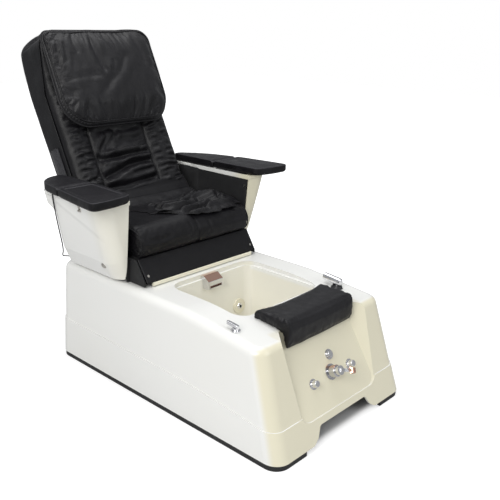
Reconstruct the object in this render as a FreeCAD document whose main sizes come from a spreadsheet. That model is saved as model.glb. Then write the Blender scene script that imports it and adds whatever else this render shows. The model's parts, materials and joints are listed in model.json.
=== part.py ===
"""Pedicure spa chair: a moulded foot-spa base with a sliding, reclining massage chair on it.

Frame: +X to the sitter's left as seen from the front (right in a front view), -Y is the front,
+Z up, origin on the floor under the middle of the whole chair.  Millimetres.
"""
import FreeCAD, Part
import math
import os
import Sketcher

Vector = FreeCAD.Vector
Rotation = FreeCAD.Rotation
Placement = FreeCAD.Placement
AXIS = {"x": Vector(1, 0, 0), "y": Vector(0, 1, 0), "z": Vector(0, 0, 1)}

doc = FreeCAD.newDocument("PedicureSpaChair")
sheet = doc.addObject("Spreadsheet::Sheet", "Sizes")


# ---------------------------------------------------------------------------------------------
# Sizes: every driving dimension, written once
# ---------------------------------------------------------------------------------------------
SIZES = [
    # the moulded base
    ("base_centre_y", -163, "middle of the base behind the origin (negative: in front)"),
    ("base_length", 1252, "foot of the base, front to back"),
    ("front_reach", 608, "front foot of the base ahead of its origin"),
    ("base_width", 760, "foot of the base, side to side"),
    ("deck_height", 420, "flat deck that the chair stands on"),
    ("nose_drop", 32, "how far the deck falls to the front edge"),
    ("nose_start", -150, "where the deck starts to fall"),
    ("front_rake", 125, "how far the front leans back"),
    ("side_rake", 26, "how far each side leans in"),
    ("base_corner", 58, "plan radius of the base corners"),
    ("rim_round", 34, "rounding of the deck edge"),
    ("shell_wall", 6, "moulding thickness"),
    ("skirt_step", 4, "how far the lower skirt stands proud"),
    ("skirt_front", 112, "height of the skirt line at the front"),
    ("skirt_rear", 172, "height of the skirt line behind"),
    ("plinth_height", 20, "rubber plinth strip"),
    ("plinth_thick", 12, ""),
    ("notch_foot", 450, "toe notch width at the floor"),
    ("notch_head", 272, "toe notch width at its top"),
    ("notch_height", 74, ""),
    # foot basin
    ("basin_width", 450, "opening in the deck"),
    ("basin_rear", 98, "rear edge of the opening"),
    ("basin_front", -297, "front edge of the opening"),
    ("basin_corner", 62, ""),
    ("basin_depth", ("deck_height", 1, -165), "its floor stays 165 above the ground"),
    ("basin_taper", 26, "how far each wall leans in at the floor"),
    ("basin_wall", 5, ""),
    ("ledge_drop", 18, "depth of the step inside the opening"),
    ("ledge_wide", 10, ""),
    ("basin_floor_round", 30, ""),
    ("well_corner", 32, "upright corners below the ledge"),
    # sloping recess for the controls
    ("recess_low", 100, "height where the recess runs out"),
    ("recess_depth", 62, "set-back of the recess at the front edge of the deck"),
    ("recess_foot", 430, "width at its bottom"),
    ("recess_head", 370, "width at the deck"),
    ("recess_corner", 60, ""),
    ("recess_flare", 45, "angle of its flanks in degrees"),
    # controls on the recess
    ("control_rise", 116, "mixer centre above the foot of the recess, along the slope"),
    ("control_pitch", 108, "mixer centre to each knob"),
    ("button_rise", 60, "air button above the mixer"),
    ("button_shift", 18, "air button to the right of the mixer"),
    ("flange_round", 19, "radius of each knob flange"),
    ("flange_thick", 3, ""),
    ("knob_round", 14, "knob radius"),
    ("knob_high", 20, ""),
    ("stem_round", 5, "knob stem radius"),
    ("running_gap", 0.05, "radial clearance of a turning shaft"),
    ("mixer_round", 22, "radius of the mixer body"),
    ("mixer_high", 34, ""),
    ("lever_reach", 66, "mixer lever from its hinge"),
    # steel base frame
    ("frame_half", 300, "middle of each long rail"),
    ("tube", 30, "square tube of the base frame"),
    ("tube_wall", 2.5, ""),
    ("frame_front", -565, ""),
    ("frame_rear", 575, ""),
    ("post_front", 175, ""),
    ("post_rear", 540, ""),
    ("foot_round", 22, ""),
    # plumbing
    ("supply_round", 8, "radius of the supply pipes"),
    ("waste_round", 20, "radius of the waste pipe"),
    ("waste_high", ("plinth_height", 1, 50), "middle of the waste pipe"),
    ("supply_high", 110, "middle of the supply pipes"),
    ("supply_half", 90, "each supply pipe from the middle"),
    ("tail_length", 26, "pipe tails behind the base"),
    ("inlet_round", 10.5, "half-inch pipe thread"),
    ("drain_y", -100, ""),
    ("drain_round", 32, "strainer radius"),
    ("spout_wide", 80, ""),
    ("spout_x", -14, "middle of the spout"),
    ("jet_x", 143, "each side jet from the middle"),
    ("jet_high", 236, ""),
    ("jet_round", 33, "jet face ring"),
    ("jet_ball", 15, "radius of the swivel nozzle"),
    ("shower_x", ("base_width", 0.5, -112), ""),
    ("shower_y", -342, ""),
    ("valve_x", ("base_width", -0.5, 73), ""),
    ("valve_y", -342, ""),
    # service side
    ("hatch_wide", 300, ""),
    ("hatch_low", 200, ""),
    ("hatch_high", 370, ""),
    ("hatch_lap", 14, "how far the cover laps the opening"),
    # slide of the chair
    ("rail_half", 180, "each slide rail from the middle"),
    ("rail_wide", 44, ""),
    ("rail_high", 24, ""),
    ("rail_wall", 3, ""),
    ("rail_front", 160, ""),
    ("rail_rear", 560, ""),
    ("slide_gap", 0.4, "play of the runners"),
    ("runner_front", 232, ""),
    ("runner_rear", 532, ""),
    ("slide_travel", 150, ""),
    # seat
    ("seat_frame_low", ("deck_height", 1, 30), ""),
    ("seat_frame_high", ("deck_height", 1, 80), ""),
    ("seat_frame_half", 250, ""),
    ("seat_frame_front", 205, ""),
    ("seat_frame_rear", 572, ""),
    ("board_thick", 24, ""),
    ("seat_half", 298, "half width of the seat cushion"),
    ("seat_front", 161, ""),
    ("seat_rear", 528, ""),
    ("seat_top", ("deck_height", 1, 217), ""),
    ("soft_gap", 0.3, "air between a soft piece and its neighbour"),
    ("flap_thick", 34, ""),
    ("apron_half", 300, ""),
    ("apron_foot_y", 126, ""),
    ("apron_top_y", 184, ""),
    ("apron_thick", 10, ""),
    ("apron_low", ("deck_height", 1, 18), "lower edge of the apron"),
    ("strip_half", 273, ""),
    # arms
    ("lining_half", 318, "inner face of the black lining"),
    ("lining_thick", 6, ""),
    ("wing_low", ("deck_height", 1, 4), "foot of the wing that closes the gap to the apron"),
    ("wing_thick", 5, ""),
    ("panel_low", ("deck_height", 1, 14), "lower edge of the side panels"),
    ("panel_high", ("deck_height", 1, 333), "upper edge of the side panels"),
    ("panel_wall", 4, ""),
    ("panel_front", 192, "front edge at the arm"),
    ("panel_foot_front", 224, "front edge at the bottom"),
    ("panel_rear", 570, "rear edge at the arm"),
    ("panel_waist_rear", 524, "rear edge below the arm"),
    ("panel_foot_rear", 566, "rear edge at the bottom"),
    ("panel_foot_half", 352, "outer face at the bottom"),
    ("panel_knee_half", 388, "outer face at the knee"),
    ("panel_knee", ("deck_height", 1, 86), "height of the knee"),
    ("panel_head_half", 452, "outer face under the arm"),
    ("arm_thick", 34, ""),
    ("arm_front", 138, ""),
    ("arm_rear", 602, ""),
    ("arm_split", 416, "line between lid and rear pad"),
    ("arm_joint_gap", 7, ""),
    ("arm_half_front", 514, ""),
    ("arm_half_mid", 484, ""),
    ("arm_half_rear", 440, ""),
    ("tray_depth", 62, ""),
    ("hinge_pin", 3, "radius of the lid hinge pins"),
    # back
    ("pivot_y", 600, "recline pivot"),
    ("pivot_high", ("deck_height", 1, 140), ""),
    ("back_lean", 27, "lean of the back in degrees"),
    ("head_turn", 22, "how much the top of the back bends forward, in degrees"),
    ("back_half", 280, ""),
    ("back_front", -62, "seam plane in front of the pivot line"),
    ("back_depth", 130, ""),
    ("back_low", 60, "bottom of the back above the pivot"),
    ("back_bend", 552, "where the back bends"),
    ("head_length", 250, "length above the bend"),
    ("back_round", 38, "rounding of the back cover"),
    ("crown_round", 62, "rounding of the top corners"),
    ("back_wall", 5, ""),
    ("pad_thick", 48, ""),
    ("pad_head_thick", 13, "pad thickness at the top"),
    ("shaft_round", 8, "recline shaft"),
    ("side_plate", 8, "thickness of the back frame sides"),
    ("side_plate_half", 258, "outer face of the back frame sides"),
    ("side_plate_deep", 40, ""),
    ("pivot_plate", 6, ""),
    ("mech_depth", 10, "plane of the massage rails behind the pivot line"),
    ("mech_rail_half", 110, ""),
    ("mech_rail_round", 8, ""),
    ("mech_low", 84, ""),
    ("mech_high", 540, ""),
    ("beam", 24, "cross beams of the back frame"),
    ("screw_round", 6, ""),
    ("carriage_low", 250, ""),
    ("carriage_high", 350, ""),
    ("roller_round", 23, ""),
    ("roller_wide", 34, ""),
    ("roller_half", 58, "each roller from the middle"),
    ("roller_depth", -37, "roller axles in front of the pivot line"),
    ("pillow_half", 284, ""),
    ("pillow_y", 824, "hinge line of the pillow"),
    ("pillow_high", ("deck_height", 1, 916), ""),
    ("pillow_drop", 420, "length of the pillow along its face"),
    ("pillow_head_thick", 20, ""),
    ("pillow_foot_thick", 62, ""),
    ("pillow_corner", 105, "rounding of its lower corners"),
    # footrest
    ("rest_half", 188, ""),
    ("rest_front", -474, ""),
    ("rest_rear", -313, ""),
    ("rest_top", ("deck_height", 1, 12), ""),
    ("rest_lip", ("deck_height", 1, -80), "lower edge of its front lip"),
    ("rest_lip_thick", 16, ""),
    ("rest_board", 8, ""),
    ("rest_dish", 12, "how far its top dips in the middle"),
    ("rest_pin", 6, "radius of its guide pins"),
    ("rest_pin_half", 120, "each pin from the middle"),
    ("rest_pin_y", -356, ""),
    # handset lead
    ("lead_round", 2.5, "radius of the handset lead"),
]


class Size(float):
    """A number that also carries the sheet formula it comes from."""

    def __new__(cls, number, text):
        size = float.__new__(cls, number)
        size.text = text
        return size

    def __add__(self, other):
        return Size(float(self) + float(other), f"({self.text} + {text_of(other)})")

    def __radd__(self, other):
        return Size(float(other) + float(self), f"({text_of(other)} + {self.text})")

    def __sub__(self, other):
        return Size(float(self) - float(other), f"({self.text} - {text_of(other)})")

    def __rsub__(self, other):
        return Size(float(other) - float(self), f"({text_of(other)} - {self.text})")

    def __mul__(self, other):
        return Size(float(self) * float(other), f"({self.text} * {text_of(other)})")

    __rmul__ = __mul__

    def __truediv__(self, other):
        return Size(float(self) / float(other), f"({self.text} / {text_of(other)})")

    def __neg__(self):
        return Size(-float(self), f"(0 - {self.text})")


def text_of(value):
    """The formula of a size, or the digits of a plain number."""
    return value.text if isinstance(value, Size) else format(float(value), ".10g")


def fill_sheet():
    """Write the sizes into the sheet and give them back as named Size values."""
    class Named:
        pass
    for row, (alias, value, note) in enumerate(SIZES, 1):
        sheet.set(f"A{row}", alias)
        if isinstance(value, tuple):
            base, times, extra = value
            sheet.set(f"B{row}", f"={base} * {times} {extra:+}")
        else:
            sheet.set(f"B{row}", str(value))
        sheet.setAlias(f"B{row}", alias)
        sheet.set(f"C{row}", note)
    doc.recompute()
    named = Named()
    for alias, _, _ in SIZES:
        setattr(named, alias, Size(sheet.get(alias), f"Sizes.{alias}"))
    return named


S = fill_sheet()


# ---------------------------------------------------------------------------------------------
# Building blocks
# ---------------------------------------------------------------------------------------------
def bind(obj, **values):
    """Set properties; a Size is bound to the sheet by its formula."""
    for name, value in values.items():
        path = name.replace("__", ".")
        if isinstance(value, Size):
            obj.setExpression(path, value.text)
        elif "." in path:
            obj.setExpression(path, text_of(value))
        else:
            setattr(obj, name, float(value))
    return obj


def move(obj, x=0, y=0, z=0):
    return bind(obj, Placement__Base__x=x, Placement__Base__y=y, Placement__Base__z=z)


def block(name, x, y, z):
    """A box between two corners; each pair is (low, high)."""
    obj = doc.addObject("Part::Box", name)
    bind(obj, Length=x[1] - x[0], Width=y[1] - y[0], Height=z[1] - z[0])
    return move(obj, x[0], y[0], z[0])


TURNS = {"x": Rotation(AXIS["y"], 90), "y": Rotation(AXIS["x"], -90), "z": Rotation()}


def rod(name, radius, start, length, axis="z"):
    """A round bar from its start point along +X, +Y or +Z."""
    obj = doc.addObject("Part::Cylinder", name)
    bind(obj, Radius=radius, Height=length)
    obj.Placement = Placement(Vector(), TURNS[axis])
    return move(obj, *start)


def cone(name, low_radius, high_radius, start, length, axis="z"):
    obj = doc.addObject("Part::Cone", name)
    bind(obj, Radius1=low_radius, Radius2=high_radius, Height=length)
    obj.Placement = Placement(Vector(), TURNS[axis])
    return move(obj, *start)


def ball(name, radius, centre):
    obj = doc.addObject("Part::Sphere", name)
    bind(obj, Radius=radius)
    return move(obj, *centre)


def frustum(name, low, high, z):
    """A block whose foot and head are different rectangles: (x0, x1, y0, y1) each."""
    obj = doc.addObject("Part::Wedge", name)
    bind(obj, Ymin=z[0], Ymax=z[1], Xmin=low[0], Xmax=low[1], Zmin=-low[3], Zmax=-low[2],
         X2min=high[0], X2max=high[1], Z2min=-high[3], Z2max=-high[2])
    obj.Placement = Placement(Vector(), Rotation(AXIS["x"], 90))
    return obj


def joined(name, *parts):
    obj = doc.addObject("Part::MultiFuse", name)
    obj.Shapes = list(parts)
    obj.Refine = True
    return obj


def cut(name, base, *tools):
    """The base less the tools."""
    obj = doc.addObject("Part::Cut", name)
    obj.Base = base
    obj.Tool = tools[0] if len(tools) == 1 else joined(name + "_tools", *tools)
    return obj


def common(name, first, second):
    obj = doc.addObject("Part::MultiCommon", name)
    obj.Shapes = [first, second]
    return obj


def rounded(name, base, radius, test):
    """Round the edges of the base that pass the test."""
    doc.recompute()
    picked = [i for i, edge in enumerate(base.Shape.Edges, 1) if test(edge)]
    assert picked, f"{name}: no edge to round"
    obj = doc.addObject("Part::Fillet", name)
    obj.Base = base
    obj.Edges = [(i, float(radius), float(radius)) for i in picked]
    return obj


def runs(edge, axis, least=0.7):
    """True when the edge runs mostly along the axis."""
    box = edge.BoundBox
    reach = {"x": box.XLength, "y": box.YLength, "z": box.ZLength}[axis]
    return reach > least * edge.Length


def middle(edge):
    return edge.valueAt((edge.FirstParameter + edge.LastParameter) / 2)


def origin_plane(body, role):
    return next(item for item in body.Origin.OriginFeatures if item.Role == role)


def arc_between(start, end, radius):
    """Arc from start to end; a positive radius has its centre on the left of the way."""
    across = end - start
    normal = Vector(-across.y, across.x, 0).normalize()
    rise = math.sqrt(radius * radius - across.Length * across.Length / 4)
    centre = (start + end) / 2 + normal * (rise if radius > 0 else -rise)
    first, last = (start, end) if radius > 0 else (end, start)
    circle = Part.Circle(centre, AXIS["z"], abs(radius))
    angles = [math.atan2(spot.y - centre.y, spot.x - centre.x) for spot in (first, last)]
    return Part.ArcOfCircle(circle, *angles)


def outline(body, name, role, points, offset=0, arcs=None):
    """A closed outline on an origin plane of the body; each corner is held at two distances.

    arcs gives the radius of the sides that are curved, by their number.
    """
    arcs = arcs or {}
    sketch = body.newObject("Sketcher::SketchObject", name)
    sketch.AttachmentSupport = [(origin_plane(body, role), "")]
    sketch.MapMode = "FlatFace"
    bind(sketch, AttachmentOffset__Base__z=offset)
    count = len(points)
    for i in range(count):
        start = Vector(points[i][0], points[i][1], 0)
        end = Vector(points[(i + 1) % count][0], points[(i + 1) % count][1], 0)
        if i in arcs:
            sketch.addGeometry(arc_between(start, end, float(arcs[i])), False)
        else:
            sketch.addGeometry(Part.LineSegment(start, end), False)
    heads = [2 if float(arcs.get(i, 1)) < 0 else 1 for i in range(count)]
    for i in range(count):
        after = (i + 1) % count
        sketch.addConstraint(Sketcher.Constraint("Coincident", i, 3 - heads[i], after, heads[after]))
    for i, radius in arcs.items():
        sketch.addConstraint(Sketcher.Constraint("Radius", i, abs(float(radius))))
    for i, corner in enumerate(points):
        for kind, axis_line, value in (("DistanceX", -2, corner[0]), ("DistanceY", -1, corner[1])):
            if float(value) == 0:
                sketch.addConstraint(Sketcher.Constraint("PointOnObject", i, heads[i], axis_line))
                continue
            held = sketch.addConstraint(Sketcher.Constraint(kind, -1, 1, i, heads[i],
                                                            float(value)))
            sketch.setExpression(f"Constraints[{held}]", text_of(value))
    return sketch


def plate(name, role, points, thick, offset=0, centred=False, taper=0, arcs=None):
    """A body padded from an outline: on XY along +Z, on XZ along -Y, on YZ along +X."""
    body = doc.addObject("PartDesign::Body", name)
    sketch = outline(body, name + "_outline", role, points, offset, arcs)
    pad = body.newObject("PartDesign::Pad", name + "_pad")
    pad.Profile = sketch
    bind(pad, Length=thick)
    pad.Midplane = centred
    if float(taper):
        bind(pad, TaperAngle=taper)
    doc.recompute()
    return body


def soften(body, radius, test):
    """Round edges of a body as its next feature."""
    doc.recompute()
    tip = body.Tip
    picked = [f"Edge{i}" for i, edge in enumerate(tip.Shape.Edges, 1) if test(edge)]
    assert picked, f"{body.Name}: no edge to round"
    fillet = body.newObject("PartDesign::Fillet", body.Name + "_round")
    fillet.Base = (tip, picked)
    bind(fillet, Radius=radius)
    doc.recompute()
    return body


def mirrored(name, source):
    """The same piece on the other side of the chair."""
    obj = doc.addObject("Part::Mirroring", name)
    obj.Source = source
    obj.Normal = AXIS["x"]
    return obj


def made(name, shape):
    """A piece whose shape has no simpler feature."""
    obj = doc.addObject("Part::Feature", name)
    obj.Shape = shape
    return obj


def route(points, round_off=0.45):
    """Straight runs through the points, joined by tangent arcs as large as the runs allow."""
    here = [Vector(*point) for point in points]
    edges = []
    start = here[0]
    for before, corner, after in zip(here, here[1:], here[2:]):
        back = (before - corner).normalize()
        ahead = (after - corner).normalize()
        half_turn = (math.pi - back.getAngle(ahead)) / 2
        trim = round_off * min(before.distanceToPoint(corner), after.distanceToPoint(corner))
        radius = trim / math.tan(half_turn)
        entry = corner + back * trim
        leave = corner + ahead * trim
        inward = (back + ahead).normalize()
        crown = corner + inward * (radius / math.cos(half_turn) - radius)
        edges.append(Part.LineSegment(start, entry).toShape())
        edges.append(Part.Arc(entry, crown, leave).toShape())
        start = leave
    edges.append(Part.LineSegment(start, here[-1]).toShape())
    return Part.Wire(edges)


def tube_along(points, radius, bore=0, round_off=0.45):
    """A round tube along a route."""
    path = route(points, round_off)
    ahead = Vector(*points[1]) - Vector(*points[0])

    def swept(size):
        ring = Part.Wire(Part.makeCircle(size, Vector(*points[0]), ahead))
        return path.makePipeShell([ring], True, False)
    solid = swept(float(radius))
    if bore:
        solid = solid.cut(swept(float(bore)))
    return solid


def tilted(name, part, turn, at):
    """A piece turned and carried to its place."""
    obj = doc.addObject("Part::Compound", name)
    obj.Links = [part]
    obj.Placement = Placement(Vector(*at), turn)
    return obj


NODES = {}


def node(name, parts, turn=None, at=(0, 0, 0)):
    """One sub-part of the chair, placed in the frame; its solids are the given pieces."""
    obj = doc.addObject("Part::Compound", name)
    obj.Links = list(parts)
    if turn is not None:
        obj.Placement = Placement(Vector(), turn)
    move(obj, at[0], S.base_centre_y + at[1], at[2])
    obj.Label = name
    NODES[name] = obj
    return obj


# ---------------------------------------------------------------------------------------------
# Places that several pieces share
# ---------------------------------------------------------------------------------------------
half_length = S.front_reach
rear_end = S.base_length - S.front_reach
half_width = S.base_width / 2
nose_height = S.deck_height - S.nose_drop
rake_height = S.deck_height - S.plinth_height
floor_height = S.deck_height - S.basin_depth
deck_under = S.deck_height - S.shell_wall
front_slope = S.front_rake / rake_height
nose_end = S.front_rake - half_length
nose_slope = S.nose_drop / (S.nose_start - nose_end)


def front_face(z):
    """The moulded front at a height (skirt surface)."""
    return (z - S.plinth_height) * front_slope - half_length


def deck_at(y):
    """Height of the deck at a place in front of the fall."""
    return S.deck_height - (S.nose_start - y) * nose_slope


recess_foot_y = front_face(S.recess_low) + S.skirt_step
recess_head_y = front_face(nose_height) + S.skirt_step + S.recess_depth
recess_lean = math.atan2(recess_head_y - recess_foot_y, nose_height - S.recess_low)
RECESS_TURN = Rotation(AXIS["x"], 90 - math.degrees(recess_lean))
RECESS_AT = (0, recess_foot_y, S.recess_low)

wall_lean = math.atan2(S.basin_taper, S.basin_depth - S.ledge_drop)


def rear_wall_at(z):
    """Inner face of the rear basin wall at a height."""
    return S.basin_rear - S.ledge_wide - (S.deck_height - S.ledge_drop - z) * math.tan(wall_lean)


JET_TURN = Rotation(AXIS["x"], 90 - math.degrees(wall_lean))
DECK_TURN = Rotation(AXIS["x"], math.degrees(math.atan(nose_slope)))


def jet_place(side):
    return (side * S.jet_x, rear_wall_at(S.jet_high), S.jet_high)


def on_recess(x, rise, off=0):
    """A point on the recess face, given along the slope and off the face."""
    lean = recess_lean
    y = recess_foot_y + rise * math.sin(lean) - off * math.cos(lean)
    z = S.recess_low + rise * math.cos(lean) + off * math.sin(lean)
    return (x, y, z)


def bounds(half_x, y0, y1):
    return (-half_x, half_x, y0, y1)


# ---------------------------------------------------------------------------------------------
# Base: moulded shell, plinth, toe board
# ---------------------------------------------------------------------------------------------
def shell_form(name, inset, top_drop):
    """The outer form of the moulding, drawn in by an inset, with its falling deck."""
    low = bounds(half_width - inset, inset - half_length, rear_end - inset)
    high = bounds(half_width - S.side_rake - inset, S.front_rake - half_length + inset,
                  rear_end - inset)
    hull = frustum(name + "_hull", low, high, (S.plinth_height, S.deck_height))
    hull = rounded(name + "_corners", hull, S.base_corner - inset, lambda e: runs(e, "z"))
    top = S.deck_height - top_drop
    reach = rear_end + 50
    bend = nose_slope * 450
    fall = plate(name + "_deck", "YZ_Plane", [
        (-reach, S.plinth_height - 1), (reach, S.plinth_height - 1), (reach, top),
        (S.nose_start + bend, top), (S.nose_start - bend, top - bend * nose_slope),
        (-reach, top - (S.nose_start + reach) * nose_slope)],
        S.base_width + 100, centred=True, arcs={3: 900})
    form = common(name + "_form", hull, fall)

    def is_rim(edge):
        spot = middle(edge)
        outside = abs(spot.x) > 0.38 * S.base_width or abs(spot.y) > 0.36 * S.base_length
        return outside and spot.z > nose_height - top_drop - 30 and edge.BoundBox.ZLength < 60
    return rounded(name + "_rim", form, S.rim_round + S.skirt_step - inset, is_rim)


def basin_form(name, grow):
    """The space of the foot basin, or with a wall added all round."""
    half = S.basin_width / 2 + grow
    top = S.deck_height + 8
    step = S.deck_height - S.ledge_drop - grow
    mouth = frustum(name + "_mouth", bounds(half, S.basin_front - grow, S.basin_rear + grow),
                    bounds(half, S.basin_front - grow, S.basin_rear + grow), (step, top))
    mouth = rounded(name + "_mouth_round", mouth, S.basin_corner + grow, lambda e: runs(e, "z"))
    inner = S.ledge_wide
    drawn = S.ledge_wide + S.basin_taper
    well = frustum(
        name + "_well",
        bounds(half - drawn, S.basin_front - grow + drawn, S.basin_rear + grow - drawn),
        bounds(half - inner, S.basin_front - grow + inner, S.basin_rear + grow - inner),
        (floor_height - grow, step + 1))
    well = rounded(name + "_well_round", well, S.well_corner + grow, lambda e: runs(e, "z"))
    well = rounded(name + "_well_floor", well, S.basin_floor_round + grow,
                   lambda e: e.BoundBox.ZMax < floor_height - grow + 1)
    return joined(name, mouth, well)


def recess_form(name, grow):
    """The sloping recess as a flared block standing on the recess face."""
    foot = S.recess_foot / 2 + grow
    rise = (nose_height - S.recess_low) * 10 / 9
    head = S.recess_head / 2 + grow
    form = plate(name, "XY_Plane", [(-foot, -grow), (foot, -grow), (head, rise), (-head, rise)],
                 160, offset=-grow, taper=S.recess_flare)
    soften(form, S.recess_corner + grow,
           lambda e: middle(e).y < 60 and runs(e, "z", 0.4) and not runs(e, "x", 0.9))
    form.Placement = Placement(Vector(*RECESS_AT), RECESS_TURN)
    return form


def notch_form(name, low, high):
    """The toe notch between two depths."""
    foot = S.notch_foot / 2
    head = S.notch_head / 2
    shape = plate(name, "XZ_Plane", [
        (-foot, -5), (foot, -5), (head + 22, S.notch_height / 2), (head, S.notch_height),
        (-head, S.notch_height), (-head - 22, S.notch_height / 2)], high - low, offset=-high)
    return soften(shape, 16, lambda e: runs(e, "y", 0.9) and middle(e).z > 10)


def build_shell():
    outer = shell_form("moulding", S.skirt_step, 0)
    skirt_low = bounds(half_width, -half_length, rear_end)
    skirt_high = bounds(half_width - S.side_rake, S.front_rake - half_length, rear_end)
    skirt = frustum("skirt_hull", skirt_low, skirt_high, (S.plinth_height, S.deck_height))
    skirt = rounded("skirt_corners", skirt, S.base_corner, lambda e: runs(e, "z"))
    reach = rear_end + 20
    band = plate("skirt_band", "YZ_Plane", [
        (-reach, 0), (reach, 0), (reach, S.skirt_rear), (S.nose_start + 290, S.skirt_rear - 6),
        (-reach, S.skirt_front)], S.base_width + 40, centred=True, arcs={3: 5200})
    skirt = common("skirt", skirt, band)
    cavity = shell_form("cavity", S.skirt_step + S.shell_wall, S.shell_wall)
    cavity = cut("cavity_clear", cavity, basin_form("basin_outer", S.basin_wall),
                 recess_form("recess_back", S.shell_wall))
    floor_cut = block("floor_cut", (-half_width + 11, half_width - 11),
                      (11 - half_length, rear_end - 11), (S.plinth_height - 2,
                                                            S.plinth_height + 0.5))
    floor_cut = rounded("floor_cut_round", floor_cut, S.base_corner - 11,
                        lambda e: runs(e, "z", 0.9))
    body = joined("shell_solid", outer, skirt)
    body = cut("shell_hollow", body, cavity, floor_cut)
    body = cut("shell_basin", body, basin_form("basin_space", 0), recess_form("recess", 0))
    holes = [
        notch_form("toe_notch", -half_length - 30, -half_length + 90),
        rod("drain_hole", 22.5, (0, S.drain_y, floor_height - 20), 40),
        rod("spout_hole", 12.2, (S.spout_x, S.basin_rear - 30, S.deck_height - 36), 60, "y"),
        block("hatch_opening", (-S.hatch_wide / 2, S.hatch_wide / 2),
              (rear_end - 40, rear_end + 20), (S.hatch_low, S.hatch_high)),
        rod("waste_hole", S.waste_round + 1, (0, rear_end - 40, S.waste_high), 60, "y"),
        block("inlet_opening", (-226, -174), (rear_end - 40, rear_end + 20), (94, 126)),
    ]
    for side in (-1, 1):
        holes.append(rod(f"supply_hole_{side + 1}", S.supply_round + 1,
                         (side * S.supply_half, rear_end - 40, S.supply_high), 60, "y"))
        jet = rod(f"jet_bore_{side + 1}", 24.2, (0, 0, -20), 40)
        holes.append(tilted(f"jet_hole_{side + 1}", jet, JET_TURN, jet_place(side)))
        face = rod(f"jet_flat_{side + 1}", S.jet_round + 0.4, (0, 0, 0), 30)
        holes.append(tilted(f"jet_face_{side + 1}", face, JET_TURN, jet_place(side)))
    for name, x, rise, radius in controls():
        hole = rod(f"{name}_drill", radius, (0, 0, -30), 60)
        holes.append(tilted(f"{name}_hole", hole, RECESS_TURN, on_recess(x, rise)))
    for name, x, y, radius in (("shower", S.shower_x, S.shower_y, 15.2),
                               ("valve", S.valve_x, S.valve_y, 9.2)):
        hole = rod(f"{name}_drill", radius, (0, 0, -40), 60)
        holes.append(tilted(f"{name}_hole", hole, DECK_TURN, (x, y, deck_at(y))))
    for side in (-1, 1):
        holes.append(rod(f"rest_hole_{side + 1}", S.rest_pin + S.running_gap,
                         (side * S.rest_pin_half, S.rest_pin_y, S.deck_height - 60), 80))
    node("tub_shell", [cut("tub_moulding", body, *holes)])


def controls():
    """Name, place on the recess and hole radius of each control."""
    return [
        ("mixer", 0, S.control_rise, 16.2),
        ("drain_knob", -S.control_pitch, S.control_rise - 8, 10.2),
        ("diverter_knob", S.control_pitch, S.control_rise - 8, 10.2),
        ("air_button", S.button_shift, S.control_rise + S.button_rise, 10.2),
    ]


def build_plinth():
    foot = S.skirt_step / 2
    outer = block("plinth_outer", (foot - half_width, half_width - foot),
                  (foot - half_length, rear_end - foot), (0, S.plinth_height))
    outer = rounded("plinth_outer_round", outer, S.base_corner - foot, lambda e: runs(e, "z"))
    inset = foot + S.plinth_thick
    inner = block("plinth_inner", (inset - half_width, half_width - inset),
                  (inset - half_length, rear_end - inset), (-1, S.plinth_height + 1))
    inner = rounded("plinth_inner_round", inner, S.base_corner - inset, lambda e: runs(e, "z"))
    gap = block("plinth_gap", (-S.notch_foot / 2, S.notch_foot / 2),
                (-half_length - 20, -half_length + 40), (-1, S.plinth_height + 1))
    node("plinth_strip", [cut("plinth_ring", outer, inner, gap)])
    board_y = toe_board_y()
    board = block("toe_board_form", (-S.notch_foot / 2 - 24, S.notch_foot / 2 + 24),
                  (board_y, board_y + 5), (S.plinth_height, S.notch_height + 26))
    node("toe_board", [board])


def toe_board_y():
    return 78 - half_length


# ---------------------------------------------------------------------------------------------
# Base: welded frame and feet
# ---------------------------------------------------------------------------------------------
def hollow_bar(name, x, y, z, axis):
    """A square tube open at both ends."""
    wall = S.tube_wall
    spans = {"x": x, "y": y, "z": z}
    inner = {key: (low + wall, high - wall) for key, (low, high) in spans.items()}
    inner[axis] = (spans[axis][0] - 1, spans[axis][1] + 1)
    outer = block(name + "_outer", x, y, z)
    return outer, block(name + "_bore", inner["x"], inner["y"], inner["z"])


def foot_places():
    return [(side * S.frame_half, y) for side in (-1, 1)
            for y in (S.frame_front + 30, -S.frame_rear / 12, S.frame_rear - 30)]


def build_frame():
    low = S.plinth_height
    half = S.tube / 2
    bars = []
    bores = []

    def add(name, x, y, z, axis):
        bar, bore = hollow_bar(name, x, y, z, axis)
        bars.append(bar)
        bores.append(bore)
    inner_reach = S.frame_half - half
    for side, tag in ((-1, "left"), (1, "right")):
        mid = side * S.frame_half
        add(f"{tag}_rail", (mid - half, mid + half), (S.frame_front, S.frame_rear),
            (low, low + S.tube), "y")
    for i, y in enumerate((toe_board_y() + 5, S.post_front - half, S.frame_rear - S.tube)):
        add(f"cross_{i}", (-inner_reach, inner_reach), (y, y + S.tube), (low, low + S.tube), "x")
    for i, y in enumerate((S.post_front, S.post_rear)):
        add(f"deck_beam_{i}", (-S.frame_half - half, S.frame_half + half),
            (y - half, y + half), (deck_under - S.tube, deck_under), "x")
        for side in (-1, 1):
            mid = side * S.frame_half
            bars.append(block(f"post_{i}_{side + 1}", (mid - half, mid + half),
                              (y - half, y + half), (low + S.tube, deck_under - S.tube)))
    holes = [rod(f"foot_hole_{i}", 6.2, (x, y, low - 1), 8)
             for i, (x, y) in enumerate(foot_places())]
    node("base_frame", [cut("frame_weld", joined("frame_bars", *bars), *bores, *holes)])
    feet = []
    for i, (x, y) in enumerate(foot_places()):
        pad = cone(f"foot_pad_{i}", S.foot_round, S.foot_round - 4, (x, y, 0), low - 2)
        stem = rod(f"foot_stem_{i}", 6, (x, y, low - 2), 22)
        feet.append(joined(f"foot_{i}", pad, stem))
    node("levelling_feet", feet)


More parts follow.
